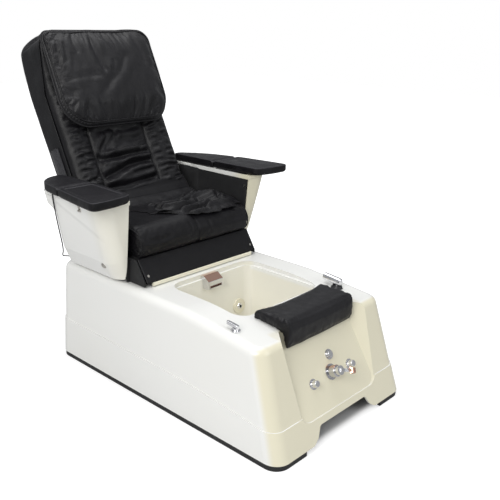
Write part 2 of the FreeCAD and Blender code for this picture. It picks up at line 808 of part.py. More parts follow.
# ---------------------------------------------------------------------------------------------
# Base: plumbing, jets, service side
# ---------------------------------------------------------------------------------------------
def build_spout():
    wall = S.basin_rear - S.ledge_wide
    step = S.deck_height - S.ledge_drop
    lip = S.basin_rear - 0.5
    lean_in = (S.basin_taper / (S.basin_depth - S.ledge_drop)) * 36
    points = [(wall - 0.3, step + 0.3), (lip, step + 0.3), (lip, step + 13), (wall - 8, step + 18),
              (wall - 38, step - 2), (wall - 40, step - 34), (wall - 33, step - 36),
              (wall - lean_in - 0.3, step - 36)]
    form = plate("spout_form", "YZ_Plane", points, S.spout_wide, offset=S.spout_x
                 - S.spout_wide / 2)
    soften(form, 3, lambda e: runs(e, "x", 0.9) and middle(e).y < wall - 5)
    mouth = block("spout_mouth", (S.spout_x - S.spout_wide / 2 + 8, S.spout_x + S.spout_wide / 2 - 8),
                  (wall - 60, wall - 10), (step - 30, step - 20))
    head = cut("spout_head", form, mouth)
    stem = rod("spout_stem", 12, (S.spout_x, wall - 4, step - 18), 42, "y")
    node("waterfall_spout", [joined("spout", head, stem)])


def build_jets():
    rings = []
    motors = []
    for side in (-1, 1):
        tag = "left" if side < 0 else "right"
        flange = rod(f"{tag}_jet_flange", S.jet_round, (0, 0, 0), 6)
        barrel = rod(f"{tag}_jet_barrel", 24, (0, 0, -34), 34)
        seat = ball(f"{tag}_jet_seat", S.jet_ball + 0.1, (0, 0, 0))
        throat = rod(f"{tag}_jet_throat", 12.5, (0, 0, -40), 60)
        ring = cut(f"{tag}_jet_ring", joined(f"{tag}_jet_solid", flange, barrel), seat, throat)
        ring = rounded(f"{tag}_jet_face", ring, 2.5, lambda e: middle(e).z > 5.9
                       and e.BoundBox.XLength > 1.9 * S.jet_round)
        rings.append(tilted(f"{tag}_jet_ring_set", ring, JET_TURN, jet_place(side)))
        core = ball(f"{tag}_jet_core", S.jet_ball, (0, 0, 0))
        nozzle = rod(f"{tag}_jet_bore", 6, (0, 0, -30), 60)
        flat = block(f"{tag}_jet_flat", (-30, 30), (-30, 30), (11, 30))
        eye = cut(f"{tag}_jet_eye_form", core, nozzle, flat)
        node(f"{tag}_jet_nozzle", [eye], JET_TURN, jet_place(side))
        body = rod(f"{tag}_motor_body", 40, (0, 0, -150), 105)
        neck = rod(f"{tag}_motor_neck", 30, (0, 0, -45), 11)
        motor = joined(f"{tag}_jet_motor_form", body, neck)
        motors.append(tilted(f"{tag}_jet_motor_set", motor, JET_TURN, jet_place(side)))
    node("jet_rings", rings)
    node("jet_motors", motors)


def build_drain():
    flange = rod("drain_flange", S.drain_round, (0, S.drain_y, floor_height), 3)
    tail = rod("drain_tail", 22, (0, S.drain_y, floor_height - 36), 37)
    throat = rod("drain_throat", 17, (0, S.drain_y, floor_height - 50), 49)
    body = cut("drain_body", joined("drain_solid", flange, tail), throat)
    slots = [rod("drain_eye_0", 3, (0, S.drain_y, floor_height - 5), 20)]
    for i in range(6):
        angle = math.radians(60 * i)
        slots.append(rod(f"drain_eye_{i + 1}", 3, (10 * math.cos(angle), S.drain_y
                                                 + 10 * math.sin(angle), floor_height - 5), 20))
    body = rounded("drain_edge", body, 1.5, lambda e: middle(e).z > floor_height + 2.9)
    node("drain_strainer", [cut("drain_strainer_form", body, *slots)])
    top = floor_height - 36
    inside = S.waste_round - 3.5
    waste = tube_along([(0, S.drain_y, top), (0, S.drain_y, S.waste_high),
                        (0, rear_end + S.tail_length, S.waste_high)],
                       S.waste_round - 1, inside, 0.42)
    spigot = rod("waste_spigot", S.waste_round, (0, rear_end + 3, S.waste_high),
                 S.tail_length - 3, "y")
    bore = rod("waste_bore", inside, (0, rear_end - 5, S.waste_high), S.tail_length + 10, "y")
    node("waste_pipe", [cut("waste_pipe_form", joined(
        "waste_pipe_solid", made("waste_run", waste), spigot), bore)])


def build_supply():
    back = rear_end + S.tail_length
    mixer_x, mixer_y, mixer_z = on_recess(0, S.control_rise, -62)
    for side, tag in ((-1, "hot"), (1, "cold")):
        x = side * S.supply_half
        path = [(x, back - 24, S.supply_high), (x, mixer_y + 20, S.supply_high),
                (side * 9, mixer_y + 20, S.supply_high + 20), (side * 9, mixer_y, mixer_z)]
        pipe = made(f"{tag}_pipe", tube_along(path, S.supply_round - 1.5, S.supply_round - 3))
        tail = rod(f"{tag}_tail", S.inlet_round, (x, rear_end + 1, S.supply_high),
                   S.tail_length - 1, "y")
        nut = rod(f"{tag}_nut", 15, (x, rear_end + 0.2, S.supply_high), 6, "y")
        bore = rod(f"{tag}_bore", S.supply_round - 3, (x, rear_end - 20, S.supply_high), 80,
                   "y")
        node(f"{tag}_supply_pipe", [cut(f"{tag}_supply_form", joined(
            f"{tag}_supply_solid", pipe, tail, nut), bore)])
    step = S.deck_height - S.ledge_drop
    side_x = S.basin_width / 2 + 30
    outlet = on_recess(S.control_pitch, S.control_rise - 8, -27)
    elbow = on_recess(S.control_pitch, S.control_rise - 8, -70)
    path = [(S.spout_x, 127, step - 18), (S.spout_x, 143, step - 18), (70, 143, 322),
            (side_x, 137, 300), (side_x, -330, 170), (120, -425, 150), elbow, outlet]
    shower = (S.shower_x, S.shower_y, deck_at(S.shower_y))

    def below(drop):
        spot = DECK_TURN.multVec(Vector(0, 0, -drop)) + Vector(*shower)
        return (spot.x, spot.y, spot.z)
    shower_path = [below(24), below(100), (S.shower_x - 6, S.shower_y - 22, 230),
                   (190, -415, 165), (128, -452, 185)]
    node("water_hoses", [made("spout_hose", tube_along(path, 7, 5)),
                         made("shower_hose", tube_along(shower_path, 5, 3.4))])


def build_service_side():
    lap = S.hatch_lap
    face = rear_end - S.skirt_step
    cover = block("hatch_cover_form", (-S.hatch_wide / 2 - lap, S.hatch_wide / 2 + lap),
                  (face, face + 3), (S.hatch_low - lap, S.hatch_high + lap))
    cover = rounded("hatch_cover_round", cover, 10, lambda e: runs(e, "y", 0.9))
    slots = [block(f"hatch_slot_{i}", (-60, 60), (face - 5, face + 10),
                   (S.hatch_low + 30 + 14 * i, S.hatch_low + 35 + 14 * i)) for i in range(7)]
    node("service_cover", [cut("service_cover_form", cover, *slots)])
    socket = block("power_inlet_form", (-225, -175), (rear_end - 30, rear_end), (95, 125))
    rim = block("power_inlet_rim", (-232, -168), (rear_end, rear_end + 2), (88, 132))
    pocket = block("power_inlet_pocket", (-213, -187), (rear_end - 16, rear_end + 5),
                   (100, 120))
    pins = [block(f"power_pin_{i}", (-200 + 7 * i - 1, -200 + 7 * i + 1),
                  (rear_end - 16, rear_end - 3), (103, 108)) for i in (-1, 0, 1)]
    node("power_inlet", [joined("power_inlet_all", cut("power_inlet_body", joined(
        "power_inlet_solid", socket, rim), pocket), *pins)])


def build_controls():
    lean = RECESS_TURN
    handle_turn = RECESS_TURN.multiply(Rotation(AXIS["z"], -20))
    seats = []
    for name, x, rise, hole in controls():
        at = on_recess(x, rise)
        if name == "mixer":
            rose = rod("mixer_rose", 29, (0, 0, 0), S.flange_thick)
            body = rod("mixer_barrel", S.mixer_round, (0, 0, 0), S.mixer_high)
            tail = rod("mixer_tail", 16, (0, 0, -56), 57)
            bore = rod("mixer_bore", 9 + S.running_gap, (0, 0, S.mixer_high - 20), 21)
            solid = cut("mixer_solid", joined("mixer_parts", rose, body, tail), bore)
            solid = rounded("mixer_edge", solid, 3, lambda e: e.BoundBox.ZLength < 0.1 and abs(
                e.BoundBox.XLength - 2 * S.mixer_round) < 0.1 and middle(e).z > 10)
            node("mixer_body", [solid], lean, at)
            post = rod("cartridge_post", 9, (0, 0, S.mixer_high - 18), 18)
            head = rod("cartridge_head", 17, (0, 0, S.mixer_high + 0.3), 15)
            slot = block("cartridge_slot", (-6.4, 30), (-6.2, 6.2), (S.mixer_high + 4, 80))
            pin = rod("cartridge_pin", 2, (0, -16, S.mixer_high + 11), 32, "y")
            cartridge = joined("cartridge_form", joined("cartridge_neck", post, rod(
                "cartridge_link", 9, (0, 0, S.mixer_high - 1), 2)), cut(
                "cartridge_fork", head, slot), pin)
            node("mixer_cartridge", [cartridge], handle_turn, at)
            hub = rod("lever_hub", 6, (0, -6, S.mixer_high + 11), 12, "y")
            arm = plate("lever_arm", "XZ_Plane", [
                (0, S.mixer_high + 6), (22, S.mixer_high + 7), (S.lever_reach, S.mixer_high + 17),
                (S.lever_reach, S.mixer_high + 23), (20, S.mixer_high + 16),
                (0, S.mixer_high + 16)], 12, offset=-6)
            tip = frustum("lever_tip", (S.lever_reach - 18, S.lever_reach + 8, -12, 12),
                          (S.lever_reach - 12, S.lever_reach + 4, -8, 8),
                          (S.mixer_high + 16, S.mixer_high + 24))
            eye = rod("lever_eye", 2 + S.running_gap, (0, -20, S.mixer_high + 11), 40, "y")
            node("mixer_lever", [cut("lever_form", joined("lever_parts", hub, arm, tip), eye)],
                 handle_turn, at)
            continue
        flange = rod(f"{name}_flange", S.flange_round, (0, 0, 0), S.flange_thick)
        sleeve = rod(f"{name}_sleeve", 10, (0, 0, -26), 27)
        bore = rod(f"{name}_bore", S.stem_round + S.running_gap, (0, 0, -40), 60)
        stem = rod(f"{name}_stem", S.stem_round, (0, 0, -24), 32)
        if name == "air_button":
            seat = cut(f"{name}_seat_form", joined(f"{name}_seat_solid", flange, sleeve, rod(
                f"{name}_collar", 16, (0, 0, 0), 8)), bore, rod(f"{name}_well", 12.4, (0, 0, 1),
                                                                20))
            cap = rod(f"{name}_cap", 12, (0, 0, 6), 6)
            cap = rounded(f"{name}_cap_round", cap, 2, lambda e: middle(e).z > 11.9)
        else:
            seat = cut(f"{name}_seat_form", joined(f"{name}_seat_solid", flange, sleeve), bore)
            cap = cone(f"{name}_cap", S.knob_round, S.knob_round - 2, (0, 0, 3.3), S.knob_high)
            cap = rounded(f"{name}_cap_round", cap, 2.5, lambda e: middle(e).z > S.knob_high)
            grips = [rod(f"{name}_grip_{i}", 2.4, (
                (S.knob_round + 0.6) * math.cos(math.radians(60 * i)),
                (S.knob_round + 0.6) * math.sin(math.radians(60 * i)), 2), 40) for i in range(6)]
            cap = cut(f"{name}_cap_grip", cap, *grips)
        if name == "air_button":
            node("air_button_seat", [seat], lean, at)
        else:
            seats.append(tilted(f"{name}_seat", seat, lean, at))
        node(name, [joined(f"{name}_form", cap, stem)], lean, at)
    node("knob_seats", seats)


# ---------------------------------------------------------------------------------------------
# On the deck: bath valve, hand shower, footrest, slide rails
# ---------------------------------------------------------------------------------------------
def build_deck_fittings():
    valve_at = (S.valve_x, S.valve_y, deck_at(S.valve_y))
    flange = rod("valve_flange", 17, (0, 0, 0), 6)
    neck = rod("valve_neck", 11, (0, 0, 5), 9)
    tail = rod("valve_tail", 9, (0, 0, -40), 42)
    bore = rod("valve_bore", S.stem_round + S.running_gap, (0, 0, -8), 40)
    node("bath_valve_base", [cut("valve_body", joined("valve_solid", flange, neck, tail), bore)],
         DECK_TURN, valve_at)
    stem = rod("valve_stem", S.stem_round, (0, 0, -6), 22)
    bar = block("valve_bar", (-7, 7), (-12, 42), (14.4, 25))
    bar = rounded("valve_bar_ends", bar, 6.9, lambda e: runs(e, "z", 0.9))
    bar = rounded("valve_bar_edge", bar, 2.5, lambda e: e.BoundBox.ZMin > 24.9)
    node("bath_valve_lever", [joined("valve_lever_form", stem, bar)], DECK_TURN, valve_at)

    shower_at = (S.shower_x, S.shower_y, deck_at(S.shower_y))
    collar = cone("shower_collar", 24, 17, (0, 0, 0), 12)
    sleeve = rod("shower_sleeve", 15, (0, 0, -40), 41)
    bore = rod("shower_bore", 10 + S.running_gap, (0, 0, -60), 100)
    node("shower_holder", [cut("shower_holder_form", joined("shower_holder_solid", collar, sleeve),
                               bore)], DECK_TURN, shower_at)
    stem = rod("shower_stem", 10, (0, 0, -36), 58)
    head = joined("shower_head", rod("shower_barrel", 15, (0, -11, 27.2), 74, "y"),
                  cone("shower_nose", 11, 15, (0, -15, 27.2), 4, "y"),
                  cone("shower_tip", 15, 12, (0, 63, 27.2), 3, "y"))
    hollow = rod("shower_hollow", 5.3, (0, 0, -60), 70)
    node("hand_shower", [cut("hand_shower_form", joined("hand_shower_solid", stem, head), hollow)],
         DECK_TURN, shower_at)


def build_footrest():
    low = 1
    board_top = low + S.rest_board
    half = S.rest_half - 8
    rear = S.rest_rear - 7
    front = S.rest_front + 30
    board = plate("rest_board_form", "YZ_Plane", [
        (front, deck_at(front) + low), (rear, deck_at(rear) + low),
        (rear, deck_at(rear) + board_top), (front, deck_at(front) + board_top)],
        half * 2, centred=True)
    pins = [rod(f"rest_pin_{side + 1}", S.rest_pin,
                (side * S.rest_pin_half, S.rest_pin_y, S.deck_height - 95), 78)
            for side in (-1, 1)]
    node("footrest_board", [joined("rest_board_all", board, *pins)])
    lip = S.rest_front + S.rest_lip_thick
    under = S.rest_front + 26
    rim = S.rest_top + S.rest_dish / 2
    body = plate("rest_cushion_form", "YZ_Plane", [
        (S.rest_front, S.rest_lip), (lip, S.rest_lip), (under, deck_at(under) + board_top),
        (S.rest_rear, deck_at(S.rest_rear) + board_top), (S.rest_rear, rim), (S.rest_front, rim)],
        S.rest_half * 2, centred=True)
    sweep = (S.rest_half * S.rest_half) / (S.rest_dish * 2) + S.rest_dish / 2
    dish = rod("rest_hollow", sweep, (0, S.rest_front - 20, rim - S.rest_dish + sweep),
               S.rest_rear - S.rest_front + 40, "y")
    body = cut("rest_dished", body, dish)
    body = rounded("rest_round", body, 7, lambda e: middle(e).z > S.rest_top - 30
                   and not (runs(e, "z", 0.9) and e.Length < 10)
                   and middle(e).z > deck_at(middle(e).y) + 14)
    node("footrest_cushion", [body])


def build_slide():
    rails = []
    runners = []
    half = S.rail_wide / 2
    top = S.deck_height + S.rail_high
    for side in (-1, 1):
        mid = side * S.rail_half
        tag = "left" if side < 0 else "right"
        outer = block(f"{tag}_rail_form", (mid - half, mid + half), (S.rail_front, S.rail_rear),
                      (S.deck_height, top))
        wall = S.rail_wall
        inside = block(f"{tag}_rail_space", (mid - half + wall, mid + half - wall),
                       (S.rail_front - 1, S.rail_rear + 1), (S.deck_height + wall, top - wall))
        slot = block(f"{tag}_rail_slot", (mid - 10, mid + 10), (S.rail_front - 1, S.rail_rear + 1),
                     (top - wall - 1, top + 1))
        rails.append(cut(f"{tag}_slide_rail", outer, inside, slot))
        gap = S.slide_gap
        shoe = block(f"{tag}_shoe", (mid - half + wall + gap, mid + half - wall - gap),
                     (S.runner_front, S.runner_rear), (S.deck_height + wall + gap,
                                                       top - wall - gap))
        neck = block(f"{tag}_neck", (mid - 10 + gap, mid + 10 - gap),
                     (S.runner_front, S.runner_rear), (top - wall - 2, S.seat_frame_low))
        runners.append(joined(f"{tag}_runner", shoe, neck))
    node("slide_rails", rails)
    return runners


# ---------------------------------------------------------------------------------------------
# Seat: frame, board, cushion, front apron
# ---------------------------------------------------------------------------------------------
def apron_back(z):
    """Rear face of the sloping apron at a height."""
    slope = (S.apron_top_y - S.apron_foot_y) / (S.seat_frame_high + 22 - S.apron_low)
    return S.apron_foot_y + S.apron_thick + (z - S.apron_low) * slope


def build_seat(runners):
    low = S.seat_frame_low
    high = S.seat_frame_high
    half = S.tube / 2
    bars = []
    bores = []

    def add(name, x, y, axis):
        bar, bore = hollow_bar(name, x, y, (low, high), axis)
        bars.append(bar)
        bores.append(bore)
    for side, tag in ((-1, "left"), (1, "right")):
        mid = side * S.seat_frame_half
        add(f"{tag}_seat_bar", (mid - half, mid + half), (S.seat_frame_front, S.seat_frame_rear),
            "y")
    reach = S.seat_frame_half - half
    for i, y in enumerate((S.seat_frame_front, S.runner_front + 60, S.seat_frame_rear - S.tube)):
        add(f"seat_cross_{i}", (-reach, reach), (y, y + S.tube), "x")
    extras = []
    edge = S.seat_frame_half + half
    for side in (-1, 1):
        inner = side * edge
        outer = side * S.lining_half
        pair = (inner, outer) if side > 0 else (outer, inner)
        for j, y in enumerate((S.seat_frame_front + 30, S.seat_frame_rear - 70)):
            extras.append(block(f"side_arm_{side + 1}_{j}", pair, (y, y + 30),
                                (low + 8, high - 8)))
        thick = S.pivot_plate
        near = edge if side > 0 else -edge - thick
        shape = plate(f"pivot_ear_{side + 1}", "YZ_Plane", [
            (S.pivot_y - 90, low + 2), (S.pivot_y - 28, low + 2), (S.pivot_y + 28, S.pivot_high
                                                                  - 14),
            (S.pivot_y + 24, S.pivot_high + 22), (S.pivot_y - 10, S.pivot_high + 26),
            (S.pivot_y - 52, high), (S.pivot_y - 90, high - 2)], thick, offset=near)
        hole = rod(f"pivot_hole_{side + 1}", S.shaft_round + S.running_gap,
                   (near - 2, S.pivot_y, S.pivot_high), thick + 4, "x")
        extras.append(cut(f"pivot_plate_{side + 1}", shape, hole))
        foot = side * 215
        extras.append(plate(f"apron_bracket_{side + 1}", "YZ_Plane", [
            (apron_back(low + 8), low + 8), (S.seat_frame_front, low + 8),
            (S.seat_frame_front, high - 5), (apron_back(high - 5), high - 5)], 6, offset=foot))
    extras.append(block("recline_bracket", (182, 228), (S.seat_frame_rear, S.pivot_y - 20),
                        (low, high)))
    node("seat_frame", [joined("seat_frame_form", cut("seat_weld", joined(
        "seat_bars", *bars, *extras), *bores), *runners)])

    board = block("seat_board_form", (-S.seat_half + 8, S.seat_half - 8),
                  (S.seat_frame_front - 10, S.seat_rear - 6), (high, high + S.board_thick))
    node("seat_board", [board])
    base = high + S.board_thick
    cushion = block("seat_cushion_form", (-S.seat_half, S.seat_half), (S.seat_front, S.seat_rear),
                    (base, S.seat_top))
    cushion = rounded("seat_cushion_nose", cushion, 34, lambda e: runs(e, "x", 0.9)
                      and e.BoundBox.YMax < S.seat_front + 1)
    cushion = rounded("seat_cushion_edges", cushion, 16, lambda e: not (
        e.BoundBox.ZMax < base + 1) and not runs(e, "x", 0.9) and middle(e).y < S.seat_rear - 1)
    node("seat_cushion", [cushion])
    foot = S.seat_top
    flap = plate("seat_flap_form", "XZ_Plane", [
        (-240, foot), (262, foot), (262, foot + 50), (200, foot + S.flap_thick + 2),
        (20, foot + S.flap_thick - 8), (-150, foot + S.flap_thick), (-240, foot + 22)],
        S.seat_rear - 32 - (S.seat_front + 6), offset=-(S.seat_rear - 32))
    soften(flap, 9, lambda e: middle(e).z > foot + 12)
    node("seat_flap", [flap])

    apron_foot = S.apron_low
    apron_head = high + 22
    apron = plate("apron_form", "YZ_Plane", [
        (S.apron_foot_y, apron_foot), (S.apron_foot_y + S.apron_thick, apron_foot),
        (S.apron_top_y + S.apron_thick, apron_head), (S.apron_top_y, apron_head)],
        S.apron_half * 2, centred=True)
    node("front_apron", [apron])
    strip = block("strip_form", (-S.strip_half, S.strip_half), (S.apron_foot_y - 4,
                                                               S.apron_foot_y + 8),
                  (S.deck_height + 3, apron_foot))
    node("apron_strip", [rounded("strip_round", strip, 3, lambda e: runs(e, "x", 0.9)
                                 and e.BoundBox.YMax < S.apron_foot_y)])


def build_recliner():
    at = (180, S.pivot_y, S.pivot_high)
    box = rod("gear_case", 34, at, 50, "x")
    bore = rod("gear_bore", S.shaft_round + S.running_gap, (170, S.pivot_y, S.pivot_high), 80, "x")
    motor = rod("gear_motor", 20, (205, S.pivot_y, S.seat_frame_low - 4), 90)
    node("recline_motor", [cut("recline_motor_form", joined("recline_motor_solid", box, motor),
                               bore)])


# ---------------------------------------------------------------------------------------------
# Arms: side panels, linings, trays, pads, lids
# ---------------------------------------------------------------------------------------------
def panel_form(name, inset):
    """Outer form of the right side panel, or its inside when inset by the wall."""
    wall = inset
    foot = S.panel_foot_half - wall
    knee = S.panel_knee_half - wall
    head = S.panel_head_half - wall
    low = S.panel_low + wall
    high = S.panel_high - wall
    lip = S.panel_high - 16
    lining_back = S.lining_half + S.lining_thick
    inner = lining_back if not wall else S.lining_half - 10
    corners = [(inner, low), (foot, low), (knee, S.panel_knee), (head, high)]
    if wall:
        corners += [(lining_back, high), (lining_back, lip), (inner, lip)]
    else:
        corners += [(lining_back - 4, high), (lining_back - 4, lip), (inner, lip)]
    profile = plate(name + "_profile", "XZ_Plane", corners, 560, offset=-640, arcs={2: 4000})
    front = S.panel_front + wall
    foot_front = S.panel_foot_front + wall
    rear = S.panel_rear - wall
    foot_rear = S.panel_foot_rear - wall
    waist = S.panel_waist_rear - wall
    side = plate(name + "_side", "YZ_Plane", [
        (foot_front, low), (foot_rear, low), (waist, S.panel_high - 78 + wall / 2),
        (rear, S.panel_high - 50 + wall), (rear, high), (front, high)], 260, offset=280)
    form = common(name + "_block", profile, side)

    def is_front(edge):
        spot = middle(edge)
        return runs(edge, "z", 0.6) and spot.x > foot - 8 and spot.y < 300

    def is_rear(edge):
        spot = middle(edge)
        return runs(edge, "z", 0.6) and spot.x > foot - 8 and spot.y > 500
    form = rounded(name + "_front", form, 60 - wall, is_front)
    return rounded(name, form, 12 - wall, is_rear)


def tray_space(grow):
    return ((338 - grow, 416 + grow), (228 - grow, 398 + grow))


def build_arms():
    outer = panel_form("panel_outer", Size(0, "0"))
    inner = panel_form("panel_inner", S.panel_wall)
    x, y = tray_space(0.3)
    mouth = block("tray_mouth", x, y, (S.panel_high - 10, S.panel_high + 10))
    rise = 212
    slope = (S.panel_head_half - S.panel_knee_half) / (S.panel_high - S.panel_knee)
    catch = tilted("right_catch", joined("catch_form", block("catch_plate", (-13, 13), (-7, 7),
                                                             (-1.5, 2)),
                                         rod("catch_stud", 4.5, (6, 0, 0), 9)),
                   Rotation(AXIS["y"], 90 + math.degrees(math.atan(slope))),
                   (S.panel_knee_half + rise * slope, 336, S.panel_knee + rise))
    panel = cut("right_panel_form", outer, inner, mouth, catch)
    lead_hole = rod("lead_hole", S.lead_round + 0.6, (-345, 540, S.deck_height + 30), 40, "y")
    node("side_panels", [panel, cut("left_panel", mirrored("left_panel_form", panel), lead_hole)])

    top = S.panel_high - 16
    lining = plate("right_lining_form", "YZ_Plane", [
        (S.panel_foot_front + 6, S.panel_low + 2), (S.panel_foot_rear - 6, S.panel_low + 2),
        (S.panel_waist_rear - 6, S.panel_high - 74), (S.panel_rear - 8, S.panel_high - 44),
        (S.panel_rear - 8, top), (S.panel_front + 8, top)], S.lining_thick, offset=S.lining_half)
    wing = plate("lining_wing_form", "YZ_Plane", [
        (S.apron_foot_y + 8, S.wing_low), (S.panel_foot_front + 8, S.wing_low),
        (S.panel_foot_front + 8, S.panel_low + 86), (S.apron_top_y + 2, S.panel_low + 86),
        (S.apron_foot_y + 8, S.apron_low)], S.wing_thick, offset=S.apron_half + 3)
    turn = block("lining_turn", (S.apron_half + 3, S.lining_half + 2),
                 (S.panel_foot_front + 2, S.panel_foot_front + 8), (S.wing_low, S.panel_low + 86))
    lining = joined("right_lining", lining, wing, turn)
    node("inner_linings", [lining, mirrored("left_lining", lining)])

    high = S.panel_high
    x, y = tray_space(0)
    cup = block("tray_form", x, y, (high - S.tray_depth, high - 0.2))
    cup = rounded("tray_round", cup, 12, lambda e: runs(e, "z", 0.9))
    lip = block("tray_lip", (x[0] - 5, x[1] + 5), (y[0] - 5, y[1] + 5), (high, high + 1.5))
    neck = block("tray_neck", (x[0] + 12, x[1] - 12), (y[0] + 12, y[1] - 12),
                 (high - 10, high + 1))
    hollow = block("tray_hollow", (x[0] + 2.5, x[1] - 2.5), (y[0] + 2.5, y[1] - 2.5),
                   (high - S.tray_depth + 2.5, high + 20))
    hollow = rounded("tray_hollow_round", hollow, 10, lambda e: runs(e, "z", 0.9))
    cup = block("tray_wall_top", x, y, (high - 20, high + 0.5))
    cup = rounded("tray_wall_round", cup, 12, lambda e: runs(e, "z", 0.9))
    body = joined("tray_solid", doc.getObject("tray_round"), cup, lip, neck)
    tray = cut("right_tray_form", body, hollow)
    node("arm_trays", [tray, mirrored("left_tray", tray)])

    gap = S.arm_joint_gap / 2
    inner_x = S.lining_half + 6
    thick = S.arm_thick
    split_front = S.arm_split - gap
    split_rear = S.arm_split + gap
    lid = plate("lid_form", "XY_Plane", [
        (inner_x + 12, S.arm_front + 16), (S.arm_half_front, S.arm_front),
        (S.arm_half_mid, split_front), (inner_x, split_front)], thick - 2.5,
        offset=high + 2.5, arcs={1: 1400})
    soften(lid, 34, lambda e: runs(e, "z", 0.9) and middle(e).y < S.arm_front + 3)
    soften(lid, 14, lambda e: runs(e, "z", 0.9) and middle(e).y < S.arm_front + 20)
    soften(lid, 8, lambda e: e.BoundBox.ZMin > high + thick - 0.1)
    pad = plate("pad_form", "XY_Plane", [
        (inner_x, split_rear), (S.arm_half_mid, split_rear), (S.arm_half_rear, S.arm_rear - 14),
        (inner_x + 11, S.arm_rear)], thick - 0.5, offset=high, arcs={1: 620})
    soften(pad, 26, lambda e: runs(e, "z", 0.9) and middle(e).y > S.arm_rear - 17)
    soften(pad, 8, lambda e: e.BoundBox.ZMin > high + thick - 0.6)
    axis_z = high + thick - 7
    ear_space = [block(f"ear_space_{i}", (x0 - 0.6, x1 + 0.6), (S.arm_split - 12, S.arm_split + 12),
                       (axis_z - 12, axis_z + 12)) for i, (x0, x1) in enumerate(ear_places())]
    tongue_space = block("tongue_space", (TONGUE[0] - 0.6, TONGUE[1] + 0.6),
                         (S.arm_split - 12, S.arm_split + 12), (axis_z - 12, axis_z + 12))
    groove = rod("pin_space", 4.5, (PIN[0] - 2, S.arm_split, axis_z), PIN[1] - PIN[0] + 4, "x")
    ears = []
    for i, (x0, x1) in enumerate(ear_places()):
        eye = rod(f"ear_eye_{i}", 6.5, (x0, S.arm_split, axis_z), x1 - x0, "x")
        web = block(f"ear_web_{i}", (x0, x1), (S.arm_split, S.arm_split + 14),
                    (axis_z - 6.5, axis_z))
        ears += [eye, web]
    tongue_eye = rod("tongue_eye", 6.5, (TONGUE[0], S.arm_split, axis_z), TONGUE[1] - TONGUE[0],
                     "x")
    tongue_web = block("tongue_web", TONGUE, (S.arm_split - 14, S.arm_split),
                       (axis_z - 6.5, axis_z))
    pin_hole = rod("pin_hole", S.hinge_pin, (PIN[0] - 5, S.arm_split, axis_z), 200, "x")
    loose_hole = rod("pin_hole_loose", S.hinge_pin + S.running_gap,
                     (PIN[0] - 5, S.arm_split, axis_z), 200, "x")
    pad_cut = cut("pad_cleared", pad, tongue_space, groove)
    lid_cut = cut("lid_cleared", lid, groove, *ear_space)
    panel_inset = plate("lid_panel", "XY_Plane", [
        (inner_x + 24, S.arm_front + 30), (S.arm_half_front - 16, S.arm_front + 16),
        (S.arm_half_mid - 16, split_front - 18), (inner_x + 13, split_front - 18)], 20,
        offset=high + thick - 2, arcs={1: 1400})
    soften(panel_inset, 14, lambda e: runs(e, "z", 0.9))
    pad_all = cut("right_pad_form", joined("pad_joined", pad_cut, *ears), pin_hole)
    lid_all = cut("right_lid_form", joined("lid_joined", cut("lid_bordered", lid_cut, panel_inset),
                                           tongue_eye, tongue_web), loose_hole)
    node("arm_pads", [pad_all, mirrored("left_pad", pad_all)])
    node("right_arm_lid", [lid_all])
    node("left_arm_lid", [mirrored("left_lid_form", lid_all)])
    pin = rod("right_hinge_pin", S.hinge_pin, (PIN[0], S.arm_split, axis_z), PIN[1] - PIN[0], "x")
    node("arm_hinge_pins", [pin, mirrored("left_hinge_pin", pin)])
    return [catch, mirrored("left_catch", catch)]


PIN = (352, 458)
TONGUE = (388, 422)


def ear_places():
    return ((372, 387), (423, 438))


def build_trim(catches):
    screws = list(catches)
    rise = 56
    slope = (S.panel_knee_half - S.panel_foot_half) / (S.panel_knee - S.panel_low)
    lean = math.degrees(math.atan(slope))
    for side in (-1, 1):
        tag = side + 1
        dome = common(f"cap_dome_{tag}", ball(f"cap_ball_{tag}", 16, (0, 0, -9)),
                      rod(f"cap_edge_{tag}", 12, (0, 0, 0), 8))
        out = side * (S.panel_foot_half + rise * slope)
        screws.append(tilted(f"panel_cap_{tag}", dome, Rotation(AXIS["y"], side * (90 + lean)),
                             (out, 290, S.panel_low + rise)))
    for side in (-1, 1):
        tag = side + 1
        y = S.apron_foot_y + 24 * 0.69 - 0.4
        screws.append(rod(f"lining_screw_{tag}", 5, (
            side * S.lining_half - (2 if side > 0 else 0), 214, S.panel_high - 45), 2, "x"))
        screws.append(tilted(f"apron_screw_set_{tag}", rod(f"apron_screw_{tag}", 5, (0, 0, 0), 2),
                             Rotation(AXIS["x"], 90 - 34.6), (side * 284, y, S.apron_low + 24)))
    node("trim_screws", screws)
    node("handset", [rounded("handset_form", block(
        "handset_block", (-404, -352), (240, 380), (S.panel_high - S.tray_depth + 2.5,
                                                    S.panel_high - S.tray_depth + 26)),
        8, lambda e: True)])
    above_deck = [(-455, 496, 332.5), (-454, 499, 313), (-420, 528, 186), (-389, 549, 78),
                  (-380, 576, 42), (-362, 592, 31), (-345, 582, 30), (-345, 548, 30)]
    lead = tube_along([(x, y, S.deck_height + z) for x, y, z in above_deck], S.lead_round)
    node("handset_lead", [made("handset_lead_form", lead)])


# ---------------------------------------------------------------------------------------------
# Back: frame, massage mechanism, cover, pad, pillow
# ---------------------------------------------------------------------------------------------
BACK_TURN = Rotation(AXIS["x"], -S.back_lean)


def back_node(name, parts):
    node(name, parts, BACK_TURN, (0, S.pivot_y, S.pivot_high))


def back_profile(inset):
    """Side outline of the back cover in (depth, height) from the pivot."""
    turn = math.radians(S.head_turn)
    front = S.back_front
    rear = S.back_front + S.back_depth - inset
    bend = S.back_bend
    length = S.head_length - inset
    top_front = (front - length * math.sin(turn), bend + length * math.cos(turn))
    depth = 112 - inset
    top_rear = (top_front[0] + depth * math.cos(turn), top_front[1] + depth * math.sin(turn))
    rear_bend = S.back_bend + 52 - inset / 2
    return [(front, S.back_low), (rear, S.back_low), (rear, rear_bend), top_rear, top_front,
            (front, bend)]


